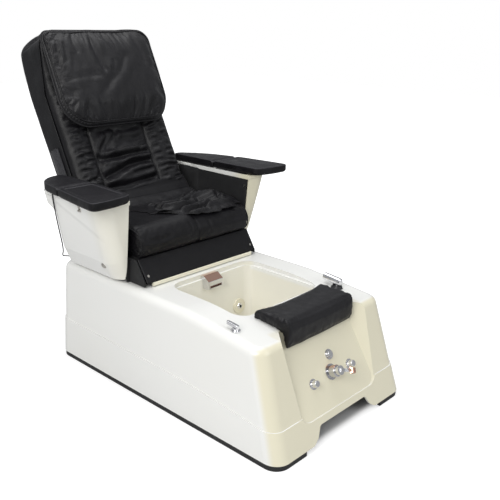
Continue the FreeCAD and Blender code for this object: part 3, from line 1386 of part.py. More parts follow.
def build_back_cover():
    outer = plate("cover_form", "YZ_Plane", back_profile(0), S.back_half * 2, centred=True)
    head = top_edge_height()
    outer = rounded("cover_crown", outer, S.crown_round,
                    lambda e: abs(middle(e).x) > S.back_half - 1 and middle(e).z > head - 20
                    and not runs(e, "z", 0.8))
    outer = rounded("cover_bend", outer, 90, lambda e: runs(e, "x", 0.95) and middle(e).y > 50
                    and middle(e).z > 400)

    def is_rear_edge(edge):
        spot = middle(edge)
        box = edge.BoundBox
        at_rear = spot.y > S.back_front + 40 or spot.z > head
        return at_rear and box.ZMax > S.back_low + 5 and not on_front(spot)
    outer = rounded("cover_edges", outer, S.back_round, is_rear_edge)
    inside = [(y, z) for y, z in back_profile(S.back_wall)]
    inside[0] = (S.back_front - 1, S.back_low - 5)
    inside[1] = (inside[1][0], S.back_low - 5)
    inside[5] = (S.back_front - 1, S.back_bend)
    turn = math.radians(S.head_turn)
    inside[4] = (inside[4][0] - math.cos(turn) - 0.4, inside[4][1] - math.sin(turn))
    space = plate("cover_space", "YZ_Plane", inside, (S.back_half - S.back_wall) * 2, centred=True)
    space = rounded("cover_space_crown", space, S.crown_round - S.back_wall,
                    lambda e: abs(middle(e).x) > S.back_half - 10 and middle(e).z > head - 25
                    and not runs(e, "z", 0.8))
    space = rounded("cover_space_bend", space, 85, lambda e: runs(e, "x", 0.95)
                    and middle(e).y > 45 and middle(e).z > 400)
    space = rounded("cover_space_edges", space, S.back_round - S.back_wall, lambda e: (
        middle(e).y > S.back_front + 38 or middle(e).z > head - 8)
        and e.BoundBox.ZMax > S.back_low + 5 and not on_front(middle(e), 3))
    back_node("back_cover", [cut("back_cover_form", outer, space)])


def top_edge_height():
    return back_profile(0)[4][1] - 6


def on_front(spot, margin=1.0):
    """True for a spot on the seam plane of the back."""
    turn = math.radians(S.head_turn)
    flat = abs(spot.y - S.back_front) < margin and spot.z < S.back_bend + 1
    reach = (spot.y - S.back_front) * math.cos(turn) + (spot.z - S.back_bend) * math.sin(turn)
    return flat or (spot.z > S.back_bend - 1 and abs(reach) < margin)


def build_back_pad():
    turn = math.radians(S.head_turn)
    gap = S.soft_gap
    front = S.back_front - gap
    deep = S.pad_thick
    length = S.head_length - 2
    ahead = S.pad_head_thick
    top = (front - length * math.sin(turn), S.back_bend + length * math.cos(turn))
    nose = (top[0] - ahead * math.cos(turn), top[1] - ahead * math.sin(turn))
    pad = plate("pad_back_form", "YZ_Plane", [
        (front, S.back_low), (front, S.back_bend), top, nose,
        (front - deep + 3, S.back_bend - 8), (front - deep, S.back_low)],
        (S.back_half - 2) * 2, centred=True)
    pad = rounded("pad_corners", pad, S.crown_round, lambda e: middle(e).z > top_edge_height() - 20
                  and abs(middle(e).x) > S.back_half - 3 and not runs(e, "z", 0.8))
    pad = rounded("pad_bend", pad, 120, lambda e: runs(e, "x", 0.95)
                  and abs(middle(e).z - S.back_bend + 8) < 2)

    def is_face_edge(edge):
        spot = middle(edge)
        low = spot.y < S.back_front - 30 and spot.z < 500
        return (low and abs(spot.x) > S.back_half - 4) or (
            spot.z > 470 and abs(spot.x) > 150 and not on_front(spot, 2.0)
            and spot.y < S.back_front - 8)
    pad = rounded("pad_edges", pad, 9, is_face_edge)
    back_node("back_pad", [pad])
    pocket = block("pocket_form", (-S.back_half - 12, -S.back_half), (-36, 22), (150, 330))
    pocket = rounded("pocket_round", pocket, 14, lambda e: runs(e, "x", 0.9)
                     and middle(e).z < 200)
    pouch = block("pouch_space", (-S.back_half - 10, 0), (-34, 20), (153, 340))
    back_node("side_pocket", [cut("side_pocket_form", pocket, pouch)])


def build_back_frame():
    plates = []
    half = S.side_plate_half
    depth = S.mech_depth
    reach = half - S.side_plate
    for side, tag in ((-1, "left"), (1, "right")):
        span = (reach, half) if side > 0 else (-half, -reach)
        plates.append(block(f"{tag}_back_side", span, (depth - S.side_plate_deep / 2,
                                                      depth + S.side_plate_deep / 2),
                            (-24, S.mech_high + 20)))
        edge = S.back_half - S.back_wall
        out = (half, edge) if side > 0 else (-edge, -half)
        for i, z in enumerate((110, 480)):
            plates.append(block(f"{tag}_spacer_{i}", out, (depth - 12, depth + 12), (z, z + 40)))
    for i, z in enumerate((S.mech_low, S.mech_high - S.beam)):
        plates.append(block(f"back_beam_{i}", (-reach, reach), (depth - S.beam / 2,
                                                              depth + S.beam / 2),
                            (z, z + S.beam)))
    holes = []
    for i, x in enumerate((-S.mech_rail_half, S.mech_rail_half)):
        holes.append(rod(f"rail_hole_{i}", S.mech_rail_round, (x, depth, 50), 520))
    holes.append(rod("screw_hole", 4 + S.running_gap, (0, depth, 50), 520))
    shaft = rod("shaft_form", S.shaft_round, (-282, 0, 0), 564, "x")
    back_node("back_frame", [joined("back_frame_form", cut("back_drilled", joined(
        "back_weld", *plates), *holes), shaft)])
    rails = [rod(f"mech_rail_{i}", S.mech_rail_round, (x, depth, S.mech_low), S.mech_high
                 - S.mech_low) for i, x in enumerate((-S.mech_rail_half, S.mech_rail_half))]
    back_node("massage_rails", rails)
    thread = rod("screw_thread", S.screw_round, (0, depth, S.mech_low + S.beam + 1),
                 S.mech_high - S.mech_low - S.beam * 2 - 2)
    ends = rod("screw_ends", 4, (0, depth, S.mech_low + 4), S.mech_high - S.mech_low - 8)
    back_node("massage_screw", [joined("massage_screw_form", thread, ends)])
    motor = block("mech_motor_form", (-30, 30), (depth - 26, depth + 26), (30, S.mech_low))
    back_node("massage_motor", [rounded("mech_motor_round", motor, 8,
                                        lambda e: runs(e, "z", 0.9))])


def build_carriage():
    depth = S.mech_depth
    body = block("carriage_body", (-140, 140), (depth - 22, depth + 24),
                 (S.carriage_low, S.carriage_high))
    body = rounded("carriage_round", body, 8, lambda e: runs(e, "z", 0.9))
    arms = []
    for i, x in enumerate((-S.roller_half, S.roller_half)):
        for j, off in enumerate((-1, 1)):
            mid = x + off * (S.roller_wide / 2 + 6)
            arms.append(block(f"carriage_arm_{i}{j}", (mid - 4, mid + 4),
                              (S.roller_depth - 9, depth - 21), (S.carriage_low, S.carriage_high)))
    holes = [rod(f"carriage_bore_{i}", S.mech_rail_round + S.running_gap,
                 (x, depth, S.carriage_low - 5), 120)
             for i, x in enumerate((-S.mech_rail_half, S.mech_rail_half))]
    holes.append(rod("carriage_nut", S.screw_round + S.running_gap, (0, depth, S.carriage_low - 5),
                     120))
    middle_height = (S.carriage_low + S.carriage_high) / 2
    reach = S.roller_half + S.roller_wide / 2 + 14
    axle_length = reach * 2
    holes.append(rod("axle_seat", 5 + S.running_gap, (-reach - 5, S.roller_depth, middle_height),
                     axle_length + 10, "x"))
    back_node("massage_carriage", [cut("carriage_form", joined("carriage_solid", body, *arms),
                                       *holes)])
    axle = rod("roller_axle", 5, (-reach, S.roller_depth, middle_height), axle_length, "x")
    tyres = []
    for i, x in enumerate((-S.roller_half, S.roller_half)):
        tyre = rod(f"roller_{i}", S.roller_round, (x - S.roller_wide / 2, S.roller_depth,
                                                  middle_height), S.roller_wide, "x")
        tyres.append(rounded(f"roller_round_{i}", tyre, 7, lambda e: e.BoundBox.XLength < 0.1))
    back_node("massage_rollers", [joined("massage_rollers_form", axle, *tyres)])


def build_pillow():
    lean = math.degrees(math.atan2(210, 370))
    side = [(6, -427), (61.65, -397), (55.65, -249.5), (-17.4, -18.5), (2.5, -1.5), (-1, 7),
            (-26, -4), (-30, -16), (-10, -112), (4, -220)]
    slab = plate("pillow_slab", "YZ_Plane", side, S.pillow_half * 2, centred=True)
    half = S.pillow_half
    low = -S.pillow_drop - 8
    face = plate("pillow_face", "XZ_Plane", [(-half, low), (half, low), (half, 10), (-half, 10)],
                 160, offset=-90)
    soften(face, S.pillow_corner, lambda e: runs(e, "y", 0.9) and middle(e).z < 0)
    soften(face, 30, lambda e: runs(e, "y", 0.9) and middle(e).z > 0)
    form = common("pillow_form", slab, face)
    node("head_pillow", [form], Rotation(AXIS["x"], -lean), (0, S.pillow_y, S.pillow_high))


build_shell()
build_plinth()
build_frame()
build_spout()
build_jets()
build_drain()
build_supply()
build_service_side()
build_controls()
build_deck_fittings()
build_footrest()
build_seat(build_slide())
build_recliner()
build_trim(build_arms())
build_back_frame()
build_carriage()
build_back_cover()
build_back_pad()
build_pillow()


# ---------------------------------------------------------------------------------------------
# Check and write
# ---------------------------------------------------------------------------------------------
def check_and_write():
    doc.recompute()
    for obj in doc.Objects:
        bad = [word for word in ("Invalid", "Error") if word in obj.State]
        assert not bad, f"{obj.Name} is {bad}"
    for name, obj in NODES.items():
        assert not obj.Shape.isNull() and obj.Shape.isValid(), f"{name} has no valid shape"
        assert obj.Shape.Solids, f"{name} has no solid"
    os.makedirs("parts", exist_ok=True)
    for name, obj in NODES.items():
        obj.Shape.exportStep(f"parts/{name}.step")


check_and_write()
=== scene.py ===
"""Pedicure spa chair: the visual model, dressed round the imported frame.

Metres in the frame of the CAD: +X right in a front view, +Y back, +Z up.  Sizes in the code are
millimetres measured from the middle of the base, and place() turns them into the frame.
"""
import json
import math

import bmesh
import bpy
import numpy as np
from mathutils import Matrix, Vector


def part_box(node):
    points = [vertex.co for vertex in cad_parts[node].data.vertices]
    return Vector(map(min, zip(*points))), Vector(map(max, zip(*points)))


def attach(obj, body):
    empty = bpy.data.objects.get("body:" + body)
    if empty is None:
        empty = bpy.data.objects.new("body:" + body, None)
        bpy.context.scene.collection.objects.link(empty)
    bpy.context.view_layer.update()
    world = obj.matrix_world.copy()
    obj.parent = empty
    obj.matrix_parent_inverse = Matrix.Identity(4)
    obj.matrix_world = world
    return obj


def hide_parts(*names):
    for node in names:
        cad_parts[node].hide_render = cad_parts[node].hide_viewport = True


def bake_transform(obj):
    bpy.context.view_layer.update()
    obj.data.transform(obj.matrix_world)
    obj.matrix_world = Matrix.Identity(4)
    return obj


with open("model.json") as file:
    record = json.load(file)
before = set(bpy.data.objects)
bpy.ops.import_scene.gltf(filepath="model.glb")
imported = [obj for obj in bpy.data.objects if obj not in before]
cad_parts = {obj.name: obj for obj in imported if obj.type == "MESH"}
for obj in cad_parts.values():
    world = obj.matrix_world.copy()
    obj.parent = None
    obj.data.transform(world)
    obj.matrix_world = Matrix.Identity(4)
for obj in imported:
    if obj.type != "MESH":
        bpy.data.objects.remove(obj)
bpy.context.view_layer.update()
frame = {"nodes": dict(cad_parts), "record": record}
scene = bpy.context.scene

BASE_Y = -163.0                          # depth in the frame of the point that sizes start from
BACK = dict(lean=27.0, at=(600.0, 560.0))
HEAD = dict(lean=math.degrees(math.atan2(210, 370)), at=(824.0, 1336.0))
CAMERA_AT = (-1.83834, -1.96229518, 1.39409327)
YAW, PITCH, ROLL = 0.830340517, 0.321317145, 0.0220835584
SENSOR_MM, FOCAL_PIXELS, PHOTO_PIXELS = 36.0, 690.48, 500
JOIN_DISTANCE = 0.00002                  # metres within which two points are one
CLOTH_FRAMES = 20


def place(points, lean=0.0, at=(0.0, 0.0)):
    """Millimetres (x, depth, height) of a part leaning back about at, as metres of the frame."""
    p = np.asarray(points, float)
    turn = math.radians(lean)
    y = p[..., 1] * math.cos(turn) + p[..., 2] * math.sin(turn)
    z = p[..., 2] * math.cos(turn) - p[..., 1] * math.sin(turn)
    return np.stack([p[..., 0], y + at[0] + BASE_Y, z + at[1]], -1) / 1000


def linked(name, data):
    """A new object in the scene."""
    obj = bpy.data.objects.new(name, data)
    scene.collection.objects.link(obj)
    return obj


# --- Nodes --------------------------------------------------------------------------------
class Nodes:
    """A cleared node tree with short helpers."""

    def __init__(self, owner):
        owner.use_nodes = True
        self.tree = owner.node_tree
        self.tree.nodes.clear()

    def add(self, kind, **settings):
        node = self.tree.nodes.new(kind)
        for key, value in settings.items():
            setattr(node, key, value)
        return node

    def filled(self, kind, **sockets):
        """A node with its sockets set; an underscore stands for a space in their names."""
        node = self.add(kind)
        for key, value in sockets.items():
            node.inputs[key.replace("_", " ")].default_value = value
        return node

    def link(self, source, target):
        self.tree.links.new(source, target)

    def coordinates(self):
        """The object's own coordinates, in metres, and the normal of its surface."""
        node = self.add("ShaderNodeTexCoord")
        self.where, self.normal = node.outputs["Object"], node.outputs["Normal"]

    def scaled(self, factors):
        node = self.filled("ShaderNodeMapping", Scale=factors)
        self.link(self.where, node.inputs["Vector"])
        return node.outputs[0]

    def noise(self, scale, detail=2.0, where=None):
        node = self.filled("ShaderNodeTexNoise", Scale=scale, Detail=detail)
        self.link(where or self.where, node.inputs["Vector"])
        return node.outputs["Fac"]

    def cells(self, scale):
        node = self.filled("ShaderNodeTexVoronoi", Scale=scale)
        self.link(self.where, node.inputs["Vector"])
        return node.outputs["Distance"]

    def spread(self, source, low, high, to_low=0.0, to_high=1.0):
        node = self.filled("ShaderNodeMapRange", From_Min=low, From_Max=high, To_Min=to_low,
                           To_Max=to_high)
        node.interpolation_type = "SMOOTHSTEP"
        self.link(source, node.inputs["Value"])
        return node.outputs[0]

    def maths(self, operation, first, second=0.0):
        node = self.add("ShaderNodeMath", operation=operation)
        for i, value in enumerate((first, second)):
            if isinstance(value, (int, float)):
                node.inputs[i].default_value = value
            else:
                self.link(value, node.inputs[i])
        return node.outputs[0]

    def mix(self, factor, first, second):
        """Two colours, by a factor."""
        node = self.add("ShaderNodeMix", data_type="RGBA")
        self.link(factor, node.inputs[0])
        for socket, value in ((node.inputs[6], first), (node.inputs[7], second)):
            if isinstance(value, tuple):
                socket.default_value = (*value, 1.0)
            else:
                self.link(value, socket)
        return node.outputs[2]

    def cross(self, factor, first, second):
        """Two shaders, by a factor."""
        node = self.add("ShaderNodeMixShader")
        for socket, source in zip(node.inputs, (factor, first, second)):
            self.link(source, socket)
        return node.outputs[0]

    def axis(self, letter):
        node = self.add("ShaderNodeSeparateXYZ")
        self.link(self.where, node.inputs[0])
        return node.outputs[letter]


class Shader(Nodes):
    """A principled material."""

    def __init__(self, name, **sockets):
        self.material = bpy.data.materials.new(name)
        super().__init__(self.material)
        out = self.add("ShaderNodeOutputMaterial")
        self.body = self.filled("ShaderNodeBsdfPrincipled", **sockets)
        self.link(self.body.outputs[0], out.inputs["Surface"])
        self.coordinates()

    def colour(self, source):
        self.link(source, self.body.inputs["Base Color"])

    def rough(self, source, low, high):
        self.link(self.spread(source, 0.3, 0.7, low, high), self.body.inputs["Roughness"])

    def bump(self, *layers):
        """Layers are (height source, distance in metres, strength)."""
        last = None
        for source, distance, strength in layers:
            node = self.filled("ShaderNodeBump", Distance=distance, Strength=strength)
            self.link(source, node.inputs["Height"])
            if last:
                self.link(last, node.inputs["Normal"])
            last = node.outputs[0]
        self.link(last, self.body.inputs["Normal"])


# --- Camera, lamps, floor -----------------------------------------------------------------
def make_camera():
    level = Vector((math.cos(YAW), -math.sin(YAW), 0))
    ahead = Vector((math.sin(YAW) * math.cos(PITCH), math.cos(YAW) * math.cos(PITCH),
                    -math.sin(PITCH)))
    over = level.cross(ahead)
    right = math.cos(ROLL) * level + math.sin(ROLL) * over
    up = -math.sin(ROLL) * level + math.cos(ROLL) * over
    data = bpy.data.cameras.new("camera")
    data.sensor_width = SENSOR_MM
    data.lens = FOCAL_PIXELS / PHOTO_PIXELS * SENSOR_MM
    camera = linked("camera", data)
    turn = Matrix((right, up, -ahead)).transposed()
    camera.matrix_world = Matrix.Translation(CAMERA_AT) @ turn.to_4x4()
    scene.camera = camera


def make_lamp(name, spot, aim, size, power, colour=(1, 1, 1)):
    data = bpy.data.lights.new(name, "AREA")
    data.shape = "RECTANGLE"
    data.size, data.size_y = size
    data.energy = power
    data.color = colour
    lamp = linked(name, data)
    lamp.location = spot
    lamp.rotation_mode = "QUATERNION"
    lamp.rotation_quaternion = (Vector(aim) - Vector(spot)).to_track_quat("-Z", "Y")


def outside_base(s):
    """0 on the floor under the base, 1 away from it."""
    ends = []
    for letter, middle, low, high in (("X", 0.0, 0.345, 0.372), ("Y", -0.145, 0.575, 0.612)):
        reach = s.maths("ABSOLUTE", s.maths("SUBTRACT", s.axis(letter), middle))
        ends.append(s.spread(reach, low, high))
    return s.maths("MAXIMUM", *ends)


def make_world():
    """White to the camera and through glass, a soft grey-blue light to everything else."""
    world = bpy.data.worlds.new("studio")
    scene.world = world
    s = Nodes(world)
    out = s.add("ShaderNodeOutputWorld")
    seen = s.filled("ShaderNodeBackground", Color=(1, 1, 1, 1), Strength=1.0)
    lit = s.filled("ShaderNodeBackground", Color=(0.96, 0.98, 1.0, 1), Strength=0.42)
    rays = s.add("ShaderNodeLightPath").outputs
    seen_by = s.maths("MAXIMUM", rays["Is Camera Ray"], rays["Is Transmission Ray"])
    s.link(s.cross(seen_by, lit.outputs[0], seen.outputs[0]), out.inputs["Surface"])


def make_floor():
    """Pale paper that keeps the shadow near the object and fades to white further out."""
    bpy.ops.mesh.primitive_plane_add(size=24, location=(0, 0, -0.0005))
    floor = bpy.context.object
    floor.name = "floor"
    material = bpy.data.materials.new("floor_paper")
    s = Nodes(material)
    s.coordinates()
    out = s.add("ShaderNodeOutputMaterial")
    paper = s.filled("ShaderNodeBsdfDiffuse", Color=(0.62, 0.62, 0.62, 1)).outputs[0]
    camera_ray = s.add("ShaderNodeLightPath").outputs["Is Camera Ray"]
    glowing = []
    for strength in (0.56, 1.0):
        glow = s.add("ShaderNodeEmission")
        s.link(s.maths("MULTIPLY", camera_ray, strength), glow.inputs["Strength"])
        both = s.add("ShaderNodeAddShader")
        s.link(paper, both.inputs[0])
        s.link(glow.outputs[0], both.inputs[1])
        glowing.append(both.outputs[0])
    reach = s.add("ShaderNodeVectorMath", operation="LENGTH")
    s.link(s.where, reach.inputs[0])
    away = s.cross(s.spread(reach.outputs["Value"], 0.9, 1.9), *glowing)
    s.link(s.cross(outside_base(s), paper, away), out.inputs["Surface"])
    floor.data.materials.append(material)


def make_studio():
    make_world()
    make_lamp("key", (-3.6, -1.5, 2.9), (0, -0.1, 0.5), (2.4, 2.4), 120, (1.0, 0.99, 0.97))
    make_lamp("fill", (0.8, -3.6, 2.3), (0, -0.1, 0.4), (2.4, 2.0), 30, (0.98, 0.99, 1.0))
    make_lamp("top", (0.2, 0.4, 3.7), (0, 0, 0.5), (2.6, 2.6), 60)
    make_floor()
    scene.view_settings.view_transform = "Standard"


# --- Materials ----------------------------------------------------------------------------
def facing(s, axis, low, high):
    """0 to 1 as the surface turns from low to high along one axis of the object."""
    node = s.add("ShaderNodeSeparateXYZ")
    s.link(s.normal, node.inputs[0])
    return s.spread(node.outputs[axis], low, high)


def leather(name, dark=(0.0042, 0.0040, 0.0050), light=(0.0110, 0.0105, 0.0125),
            gloss=(0.40, 0.52), grain=900.0, shine=0.27, rim=None):
    s = Shader(name, Specular_IOR_Level=shine)
    patches = s.spread(s.noise(9.0, 4.0), 0.35, 0.68, 0.0, 0.6)
    # painted light: faces turned up take more of the lighter tone, as if lit from above; the
    # patches are the leather's own uneven tone
    above = s.maths("MULTIPLY", facing(s, "Z", 0.1, 0.9), 0.75)
    plain = s.mix(s.maths("MAXIMUM", patches, above), dark, light)
    # painted highlight: the rim colour is a bright line painted where the top turns down into the
    # sides
    if rim:
        edge_highlight_mask = s.maths("MULTIPLY", facing(s, "Z", 0.35, 0.6), facing(s, "Z", 0.97, 0.85))
        plain = s.mix(edge_highlight_mask, plain, rim)
    s.colour(plain)
    s.rough(s.noise(30.0, 3.0), *gloss)
    s.bump((s.noise(55.0, 3.0), 0.0012, 0.35), (s.cells(grain), 0.00025, 0.5))
    return s.material


def gel_coat(name, white=(0.82, 0.82, 0.80), cream=(0.745, 0.70, 0.525), front=None, relief=None):
    s = Shader(name, Specular_IOR_Level=0.5, Coat_Weight=0.22, Coat_Roughness=0.16)
    tint = s.spread(s.noise(2.0, 3.0), 0.3, 0.75, 0.0, 0.05)
    if front:
        tint = s.maths("MAXIMUM", tint, front(s))
    s.colour(s.mix(tint, white, cream))
    s.rough(s.noise(6.0, 2.0), 0.257, 0.266)
    s.bump(*(relief(s) if relief else ()), (s.noise(3.0, 1.0), 0.0012, 0.10))
    return s.material


def panel_relief(s):
    """The panels' rolled upper edge and the soft crease that falls from it towards the front."""
    high, along = s.axis("Z"), s.axis("Y")
    lip = s.spread(high, 0.7345, 0.7385)
    across = s.maths("SUBTRACT", high, s.maths("MULTIPLY", along, 0.465))
    wander = s.maths("MULTIPLY", s.noise(5.0, 1.0), 0.03)
    crease = s.spread(s.maths("ADD", across, wander), 0.572, 0.594)
    fades = s.spread(along, 0.035, 0.10)
    return (lip, 0.0022, 0.7), (s.maths("MULTIPLY", crease, fades), 0.0045, 0.55)


def grainy(name, colour, gloss=(0.38, 0.55), shine=0.45, tone=0.85, patches=(26.0, 4.0),
           matt=40.0, grain=(700.0, 3.0), bump=(0.00015, 0.35)):
    """Plastic, paint or rubber: patches in two tones, a range of gloss and a fine grain."""
    s = Shader(name, Specular_IOR_Level=shine)
    s.colour(s.mix(s.noise(*patches), tuple(c * tone for c in colour), colour))
    s.rough(s.noise(matt, 3.0), *gloss)
    s.bump((s.noise(*grain), *bump))
    return s.material


def metal(name, colour, gloss=(0.06, 0.14), brushed=None, painted_reflection=None):
    """painted_reflection is a function that says where a warm reflection of something brown is
    painted into the metal's colour.
    """
    s = Shader(name, Metallic=1.0)
    plain = s.mix(s.noise(34.0, 4.0), tuple(c * 0.9 for c in colour), colour)
    # painted reflection: a copper-brown colour mixed in where the metal would mirror something
    # warm
    s.colour(s.mix(painted_reflection(s), plain, (0.66, 0.37, 0.26)) if painted_reflection else plain)
    s.rough(s.noise(60.0, 4.0), *gloss)
    streaks = s.noise(300.0, 2.0, where=s.scaled(brushed)) if brushed else s.noise(220.0, 3.0)
    s.bump((streaks, 0.00008, 0.25))
    return s.material


def ply(name):
    s = Shader(name, Specular_IOR_Level=0.3)
    grain = s.noise(30.0, 5.0, where=s.scaled((1.0, 14.0, 40.0)))
    s.colour(s.mix(s.spread(grain, 0.35, 0.65), (0.36, 0.23, 0.12), (0.56, 0.41, 0.25)))
    s.rough(grain, 0.5, 0.7)
    s.bump((grain, 0.0004, 0.4))
    return s.material


def net(name):
    """Black elastic mesh: dark round holes between threads that are slightly lighter."""
    s = Shader(name, Specular_IOR_Level=0.3, Sheen_Weight=0.15)
    holes = s.cells(260.0)
    s.colour(s.mix(s.spread(holes, 0.25, 0.5), (0.006, 0.006, 0.007), (0.035, 0.035, 0.04)))
    s.rough(s.noise(30.0), 0.6, 0.8)
    s.bump((holes, 0.0008, 0.8))
    return s.material


def front_tint(s):
    """Share of cream: most on the front face, some inside the basin, none on sides and deck."""
    forward = facing(s, "Y", -0.18, -0.62)
    inside = s.spread(s.maths("ABSOLUTE", s.axis("X")), 0.232, 0.246, 1.0, 0.0)
    hollow = s.maths("MULTIPLY", s.spread(s.axis("Y"), -0.60, -0.575, 1.0, 0.0), inside)
    low = s.spread(s.axis("Z"), 0.380, 0.396, 1.0, 0.0)
    basin = s.maths("MULTIPLY", low, inside)
    wet = s.maths("MULTIPLY", s.maths("MAXIMUM", hollow, basin), 0.42)
    face = s.maths("MULTIPLY", forward, s.spread(s.axis("Y"), -0.50, -0.56, 0.45, 0.9))
    return s.maths("MAXIMUM", face, wet)


MATERIALS = {}


def make_materials():
    MATERIALS.update(
        white_moulding=gel_coat("gel_coat_base", front=front_tint),
        # panels: their front faces are a mild cream of their own; its deepening from left to right
        # is painted shade on the right panel
        panel=gel_coat("gel_coat_panels", front=lambda s: s.maths(
            "MULTIPLY", s.spread(s.axis("Y"), 0.040, 0.16, 1.0, 0.0),
            s.spread(s.axis("X"), -0.1, 0.1, 0.45, 0.95)), relief=panel_relief),
        cream_trim=gel_coat("cream_trim", (0.74, 0.70, 0.56), (0.70, 0.64, 0.46)),
        strip=gel_coat("apron_strip", (0.80, 0.77, 0.62), (0.74, 0.69, 0.50)),
        black_leather=leather("black_leather"),
        # arms: darker sides and a lighter top are painted shade and light, with a painted
        # highlight on the rounded upper edge
        arm_leather=leather("arm_leather", (0.0030, 0.0028, 0.0036), (0.0150, 0.0145, 0.0172),
                            shine=0.20, rim=(0.034, 0.033, 0.038)),
        seat_leather=leather("seat_leather", (0.0034, 0.0032, 0.0040),
                             (0.0080, 0.0077, 0.0094), shine=0.22),
        pillow_leather=leather("pillow_leather", (0.0085, 0.0083, 0.0095),
                               (0.0145, 0.014, 0.016), (0.38, 0.5), 800.0),
        black_plastic=grainy("black_plastic", (0.017, 0.017, 0.019)),
        dark_board=grainy("dark_board", (0.012, 0.012, 0.013), (0.6, 0.75)),
        grey_pipe=grainy("grey_pipe", (0.30, 0.31, 0.32)),
        painted_steel=grainy("painted_steel", (0.05, 0.05, 0.055), (0.35, 0.5), 0.5, 0.8,
                             (20.0, 3.0), 50.0, (500.0, 3.0), (0.0002, 0.4)),
        black_rubber=grainy("black_rubber", (0.0272, 0.0272, 0.0289), (0.55, 0.75), 0.35,
                            1 / 1.7, (40.0, 4.0), 40.0, (800.0, 2.0), (0.0002, 0.4)),
        mesh_fabric=net("pocket_net"),
        chrome=metal("chrome", (0.78, 0.78, 0.80)),
        # painted reflections: the spout's and mixer's upper faces and the lever's end take a warm
        # brown colour
        chrome_spout=metal("chrome_spout", (0.78, 0.78, 0.80), painted_reflection=lambda s: s.maths(
            "MULTIPLY", facing(s, "Z", 0.5, 0.8), 0.85)),
        chrome_lever=metal("chrome_lever", (0.72, 0.72, 0.74), painted_reflection=lambda s: s.maths(
            "MULTIPLY", s.spread(s.axis("X"), 0.030, 0.040), 0.9)),
        chrome_mixer=metal("chrome_mixer", (0.62, 0.62, 0.64), painted_reflection=lambda s: s.maths(
            "MULTIPLY", facing(s, "Z", 0.55, 0.85), 0.8)),
        chrome_dull=metal("chrome_dull", (0.50, 0.48, 0.44), (0.25, 0.38)),
        bright_steel=metal("bright_steel", (0.56, 0.56, 0.57), (0.25, 0.4), (1, 1, 12)),
        brass=metal("brass", (0.72, 0.52, 0.22), (0.22, 0.36)),
        plywood=ply("plywood"))


def dress_frame():
    slots = {row["node"]: row["material_slot"] for row in frame["record"]["subparts"]}
    special = {"side_panels": "panel", "waterfall_spout": "chrome_spout",
               "mixer_lever": "chrome_lever", "mixer_body": "chrome_mixer",
               "seat_board": "dark_board", "toe_board": "dark_board", "apron_strip": "strip",
               "trim_screws": "chrome_dull", "footrest_board": "dark_board",
               "inner_linings": "dark_board"}
    for name, obj in frame["nodes"].items():
        material = MATERIALS[special.get(name, slots[name])]
        if obj.material_slots:
            for slot in obj.material_slots:
                slot.material = material
        else:
            obj.data.materials.append(material)


# --- Shape helpers (millimetres) ----------------------------------------------------------
def stacked(*parts):
    """Numbers and arrays, spread over each other, as the columns of a list of points."""
    return np.stack(np.broadcast_arrays(*parts), -1).reshape(-1, len(parts))


def smoothstep(t):
    return t * t * (3 - 2 * t)


def round_off(t):
    """0 to 1 along a quarter of a circle as t goes from 0 to 1."""
    return 1 - np.sqrt(1 - np.clip(t, 0, 1) ** 2)


def bell(distance, width):
    return np.exp(-(distance / width) ** 2)


def reaches(line):
    """The way along a line to each of its points."""
    return np.concatenate([[0], np.cumsum(np.linalg.norm(np.diff(line, axis=0), axis=1))])


def field(points, size, seed, count=28):
    """Smooth random field of about -1..1 with bumps roughly size across; size may be a triple."""
    rng = np.random.default_rng(seed)
    ways = rng.normal(size=(count, 3))
    ways /= np.linalg.norm(ways, axis=1, keepdims=True)
    waves = ways * (math.pi * rng.uniform(0.6, 1.5, (count, 1))) / np.asarray(size, float)
    phase = rng.uniform(0, 2 * math.pi, count)
    return np.sin(points @ waves.T + phase).sum(-1) / math.sqrt(count / 2) / 1.6


def spline(a, b, c, d, t):
    """A Catmull-Rom point between b and c."""
    return 0.5 * (2 * b + (c - a) * t + (2 * a - 5 * b + 4 * c - d) * t * t
                  + (3 * b - a - 3 * c + d) * t ** 3)


def smooth_path(path, steps=10):
    """A smooth line through given points."""
    p = np.asarray(path, float)
    p = np.vstack([2 * p[0] - p[1], p, 2 * p[-1] - p[-2]])
    return np.array([spline(*p[i - 1:i + 3], t) for i in range(1, len(p) - 2)
                     for t in np.linspace(0, 1, steps, endpoint=False)] + [p[-2]])


def evenly(line, count):
    """So many evenly spaced points round a closed line of close points."""
    line = np.vstack([line, line[:1]])
    reach = reaches(line)
    spots = np.linspace(0, reach[-1], count, endpoint=False)
    return stacked(*(np.interp(spots, reach, line[:, k]) for k in (0, 1)))


def closed_line(corners, count):
    """A smooth closed line through given points, evenly spaced."""
    p = np.asarray(corners, float)
    n = len(p)
    return evenly([spline(p[i - 1], p[i], p[(i + 1) % n], p[(i + 2) % n], t)
                   for i in range(n) for t in np.linspace(0, 1, 16, endpoint=False)], count)


def resample(corners, radii, count):
    """A closed outline with rounded corners, evenly spaced."""
    p = np.asarray(corners, float)
    dense = []
    for a, b, c, r in zip(np.roll(p, 1, 0), p, np.roll(p, -1, 0), radii):
        into = (a - b) / np.linalg.norm(a - b)
        away = (c - b) / np.linalg.norm(c - b)
        dense += [b + into * r * (1 - t) ** 2 + away * r * t ** 2
                  for t in np.linspace(0, 1, 14)]
    return evenly(dense, count)


def fold(points, path, depth, width, ends=0.16, swell=0.5, wide=2.3):
    """A crease of depth along a line with soft swells beside it; points are pairs in its plane."""
    line = smooth_path(path)
    reach = reaches(line)
    best = np.full(len(points), 1e9)
    along = np.zeros(len(points))
    for start, step, before, length in zip(line, np.diff(line, axis=0), reach, np.diff(reach)):
        t = np.clip(((points - start) @ step) / (length ** 2 + 1e-9), 0, 1)
        gap = np.linalg.norm(points - (start + t[:, None] * step), axis=1)
        near = gap < best
        best = np.where(near, gap, best)
        along = np.where(near, before + t * length, along)
    share = along / reach[-1]
    fade = smoothstep(np.clip(np.minimum(share, 1 - share) / ends, 0, 1))
    return depth * fade * (swell * bell(best - wide * width, 1.3 * width) - bell(best, width))


def folds(points, rows):
    return sum(fold(points, *row) for row in rows)


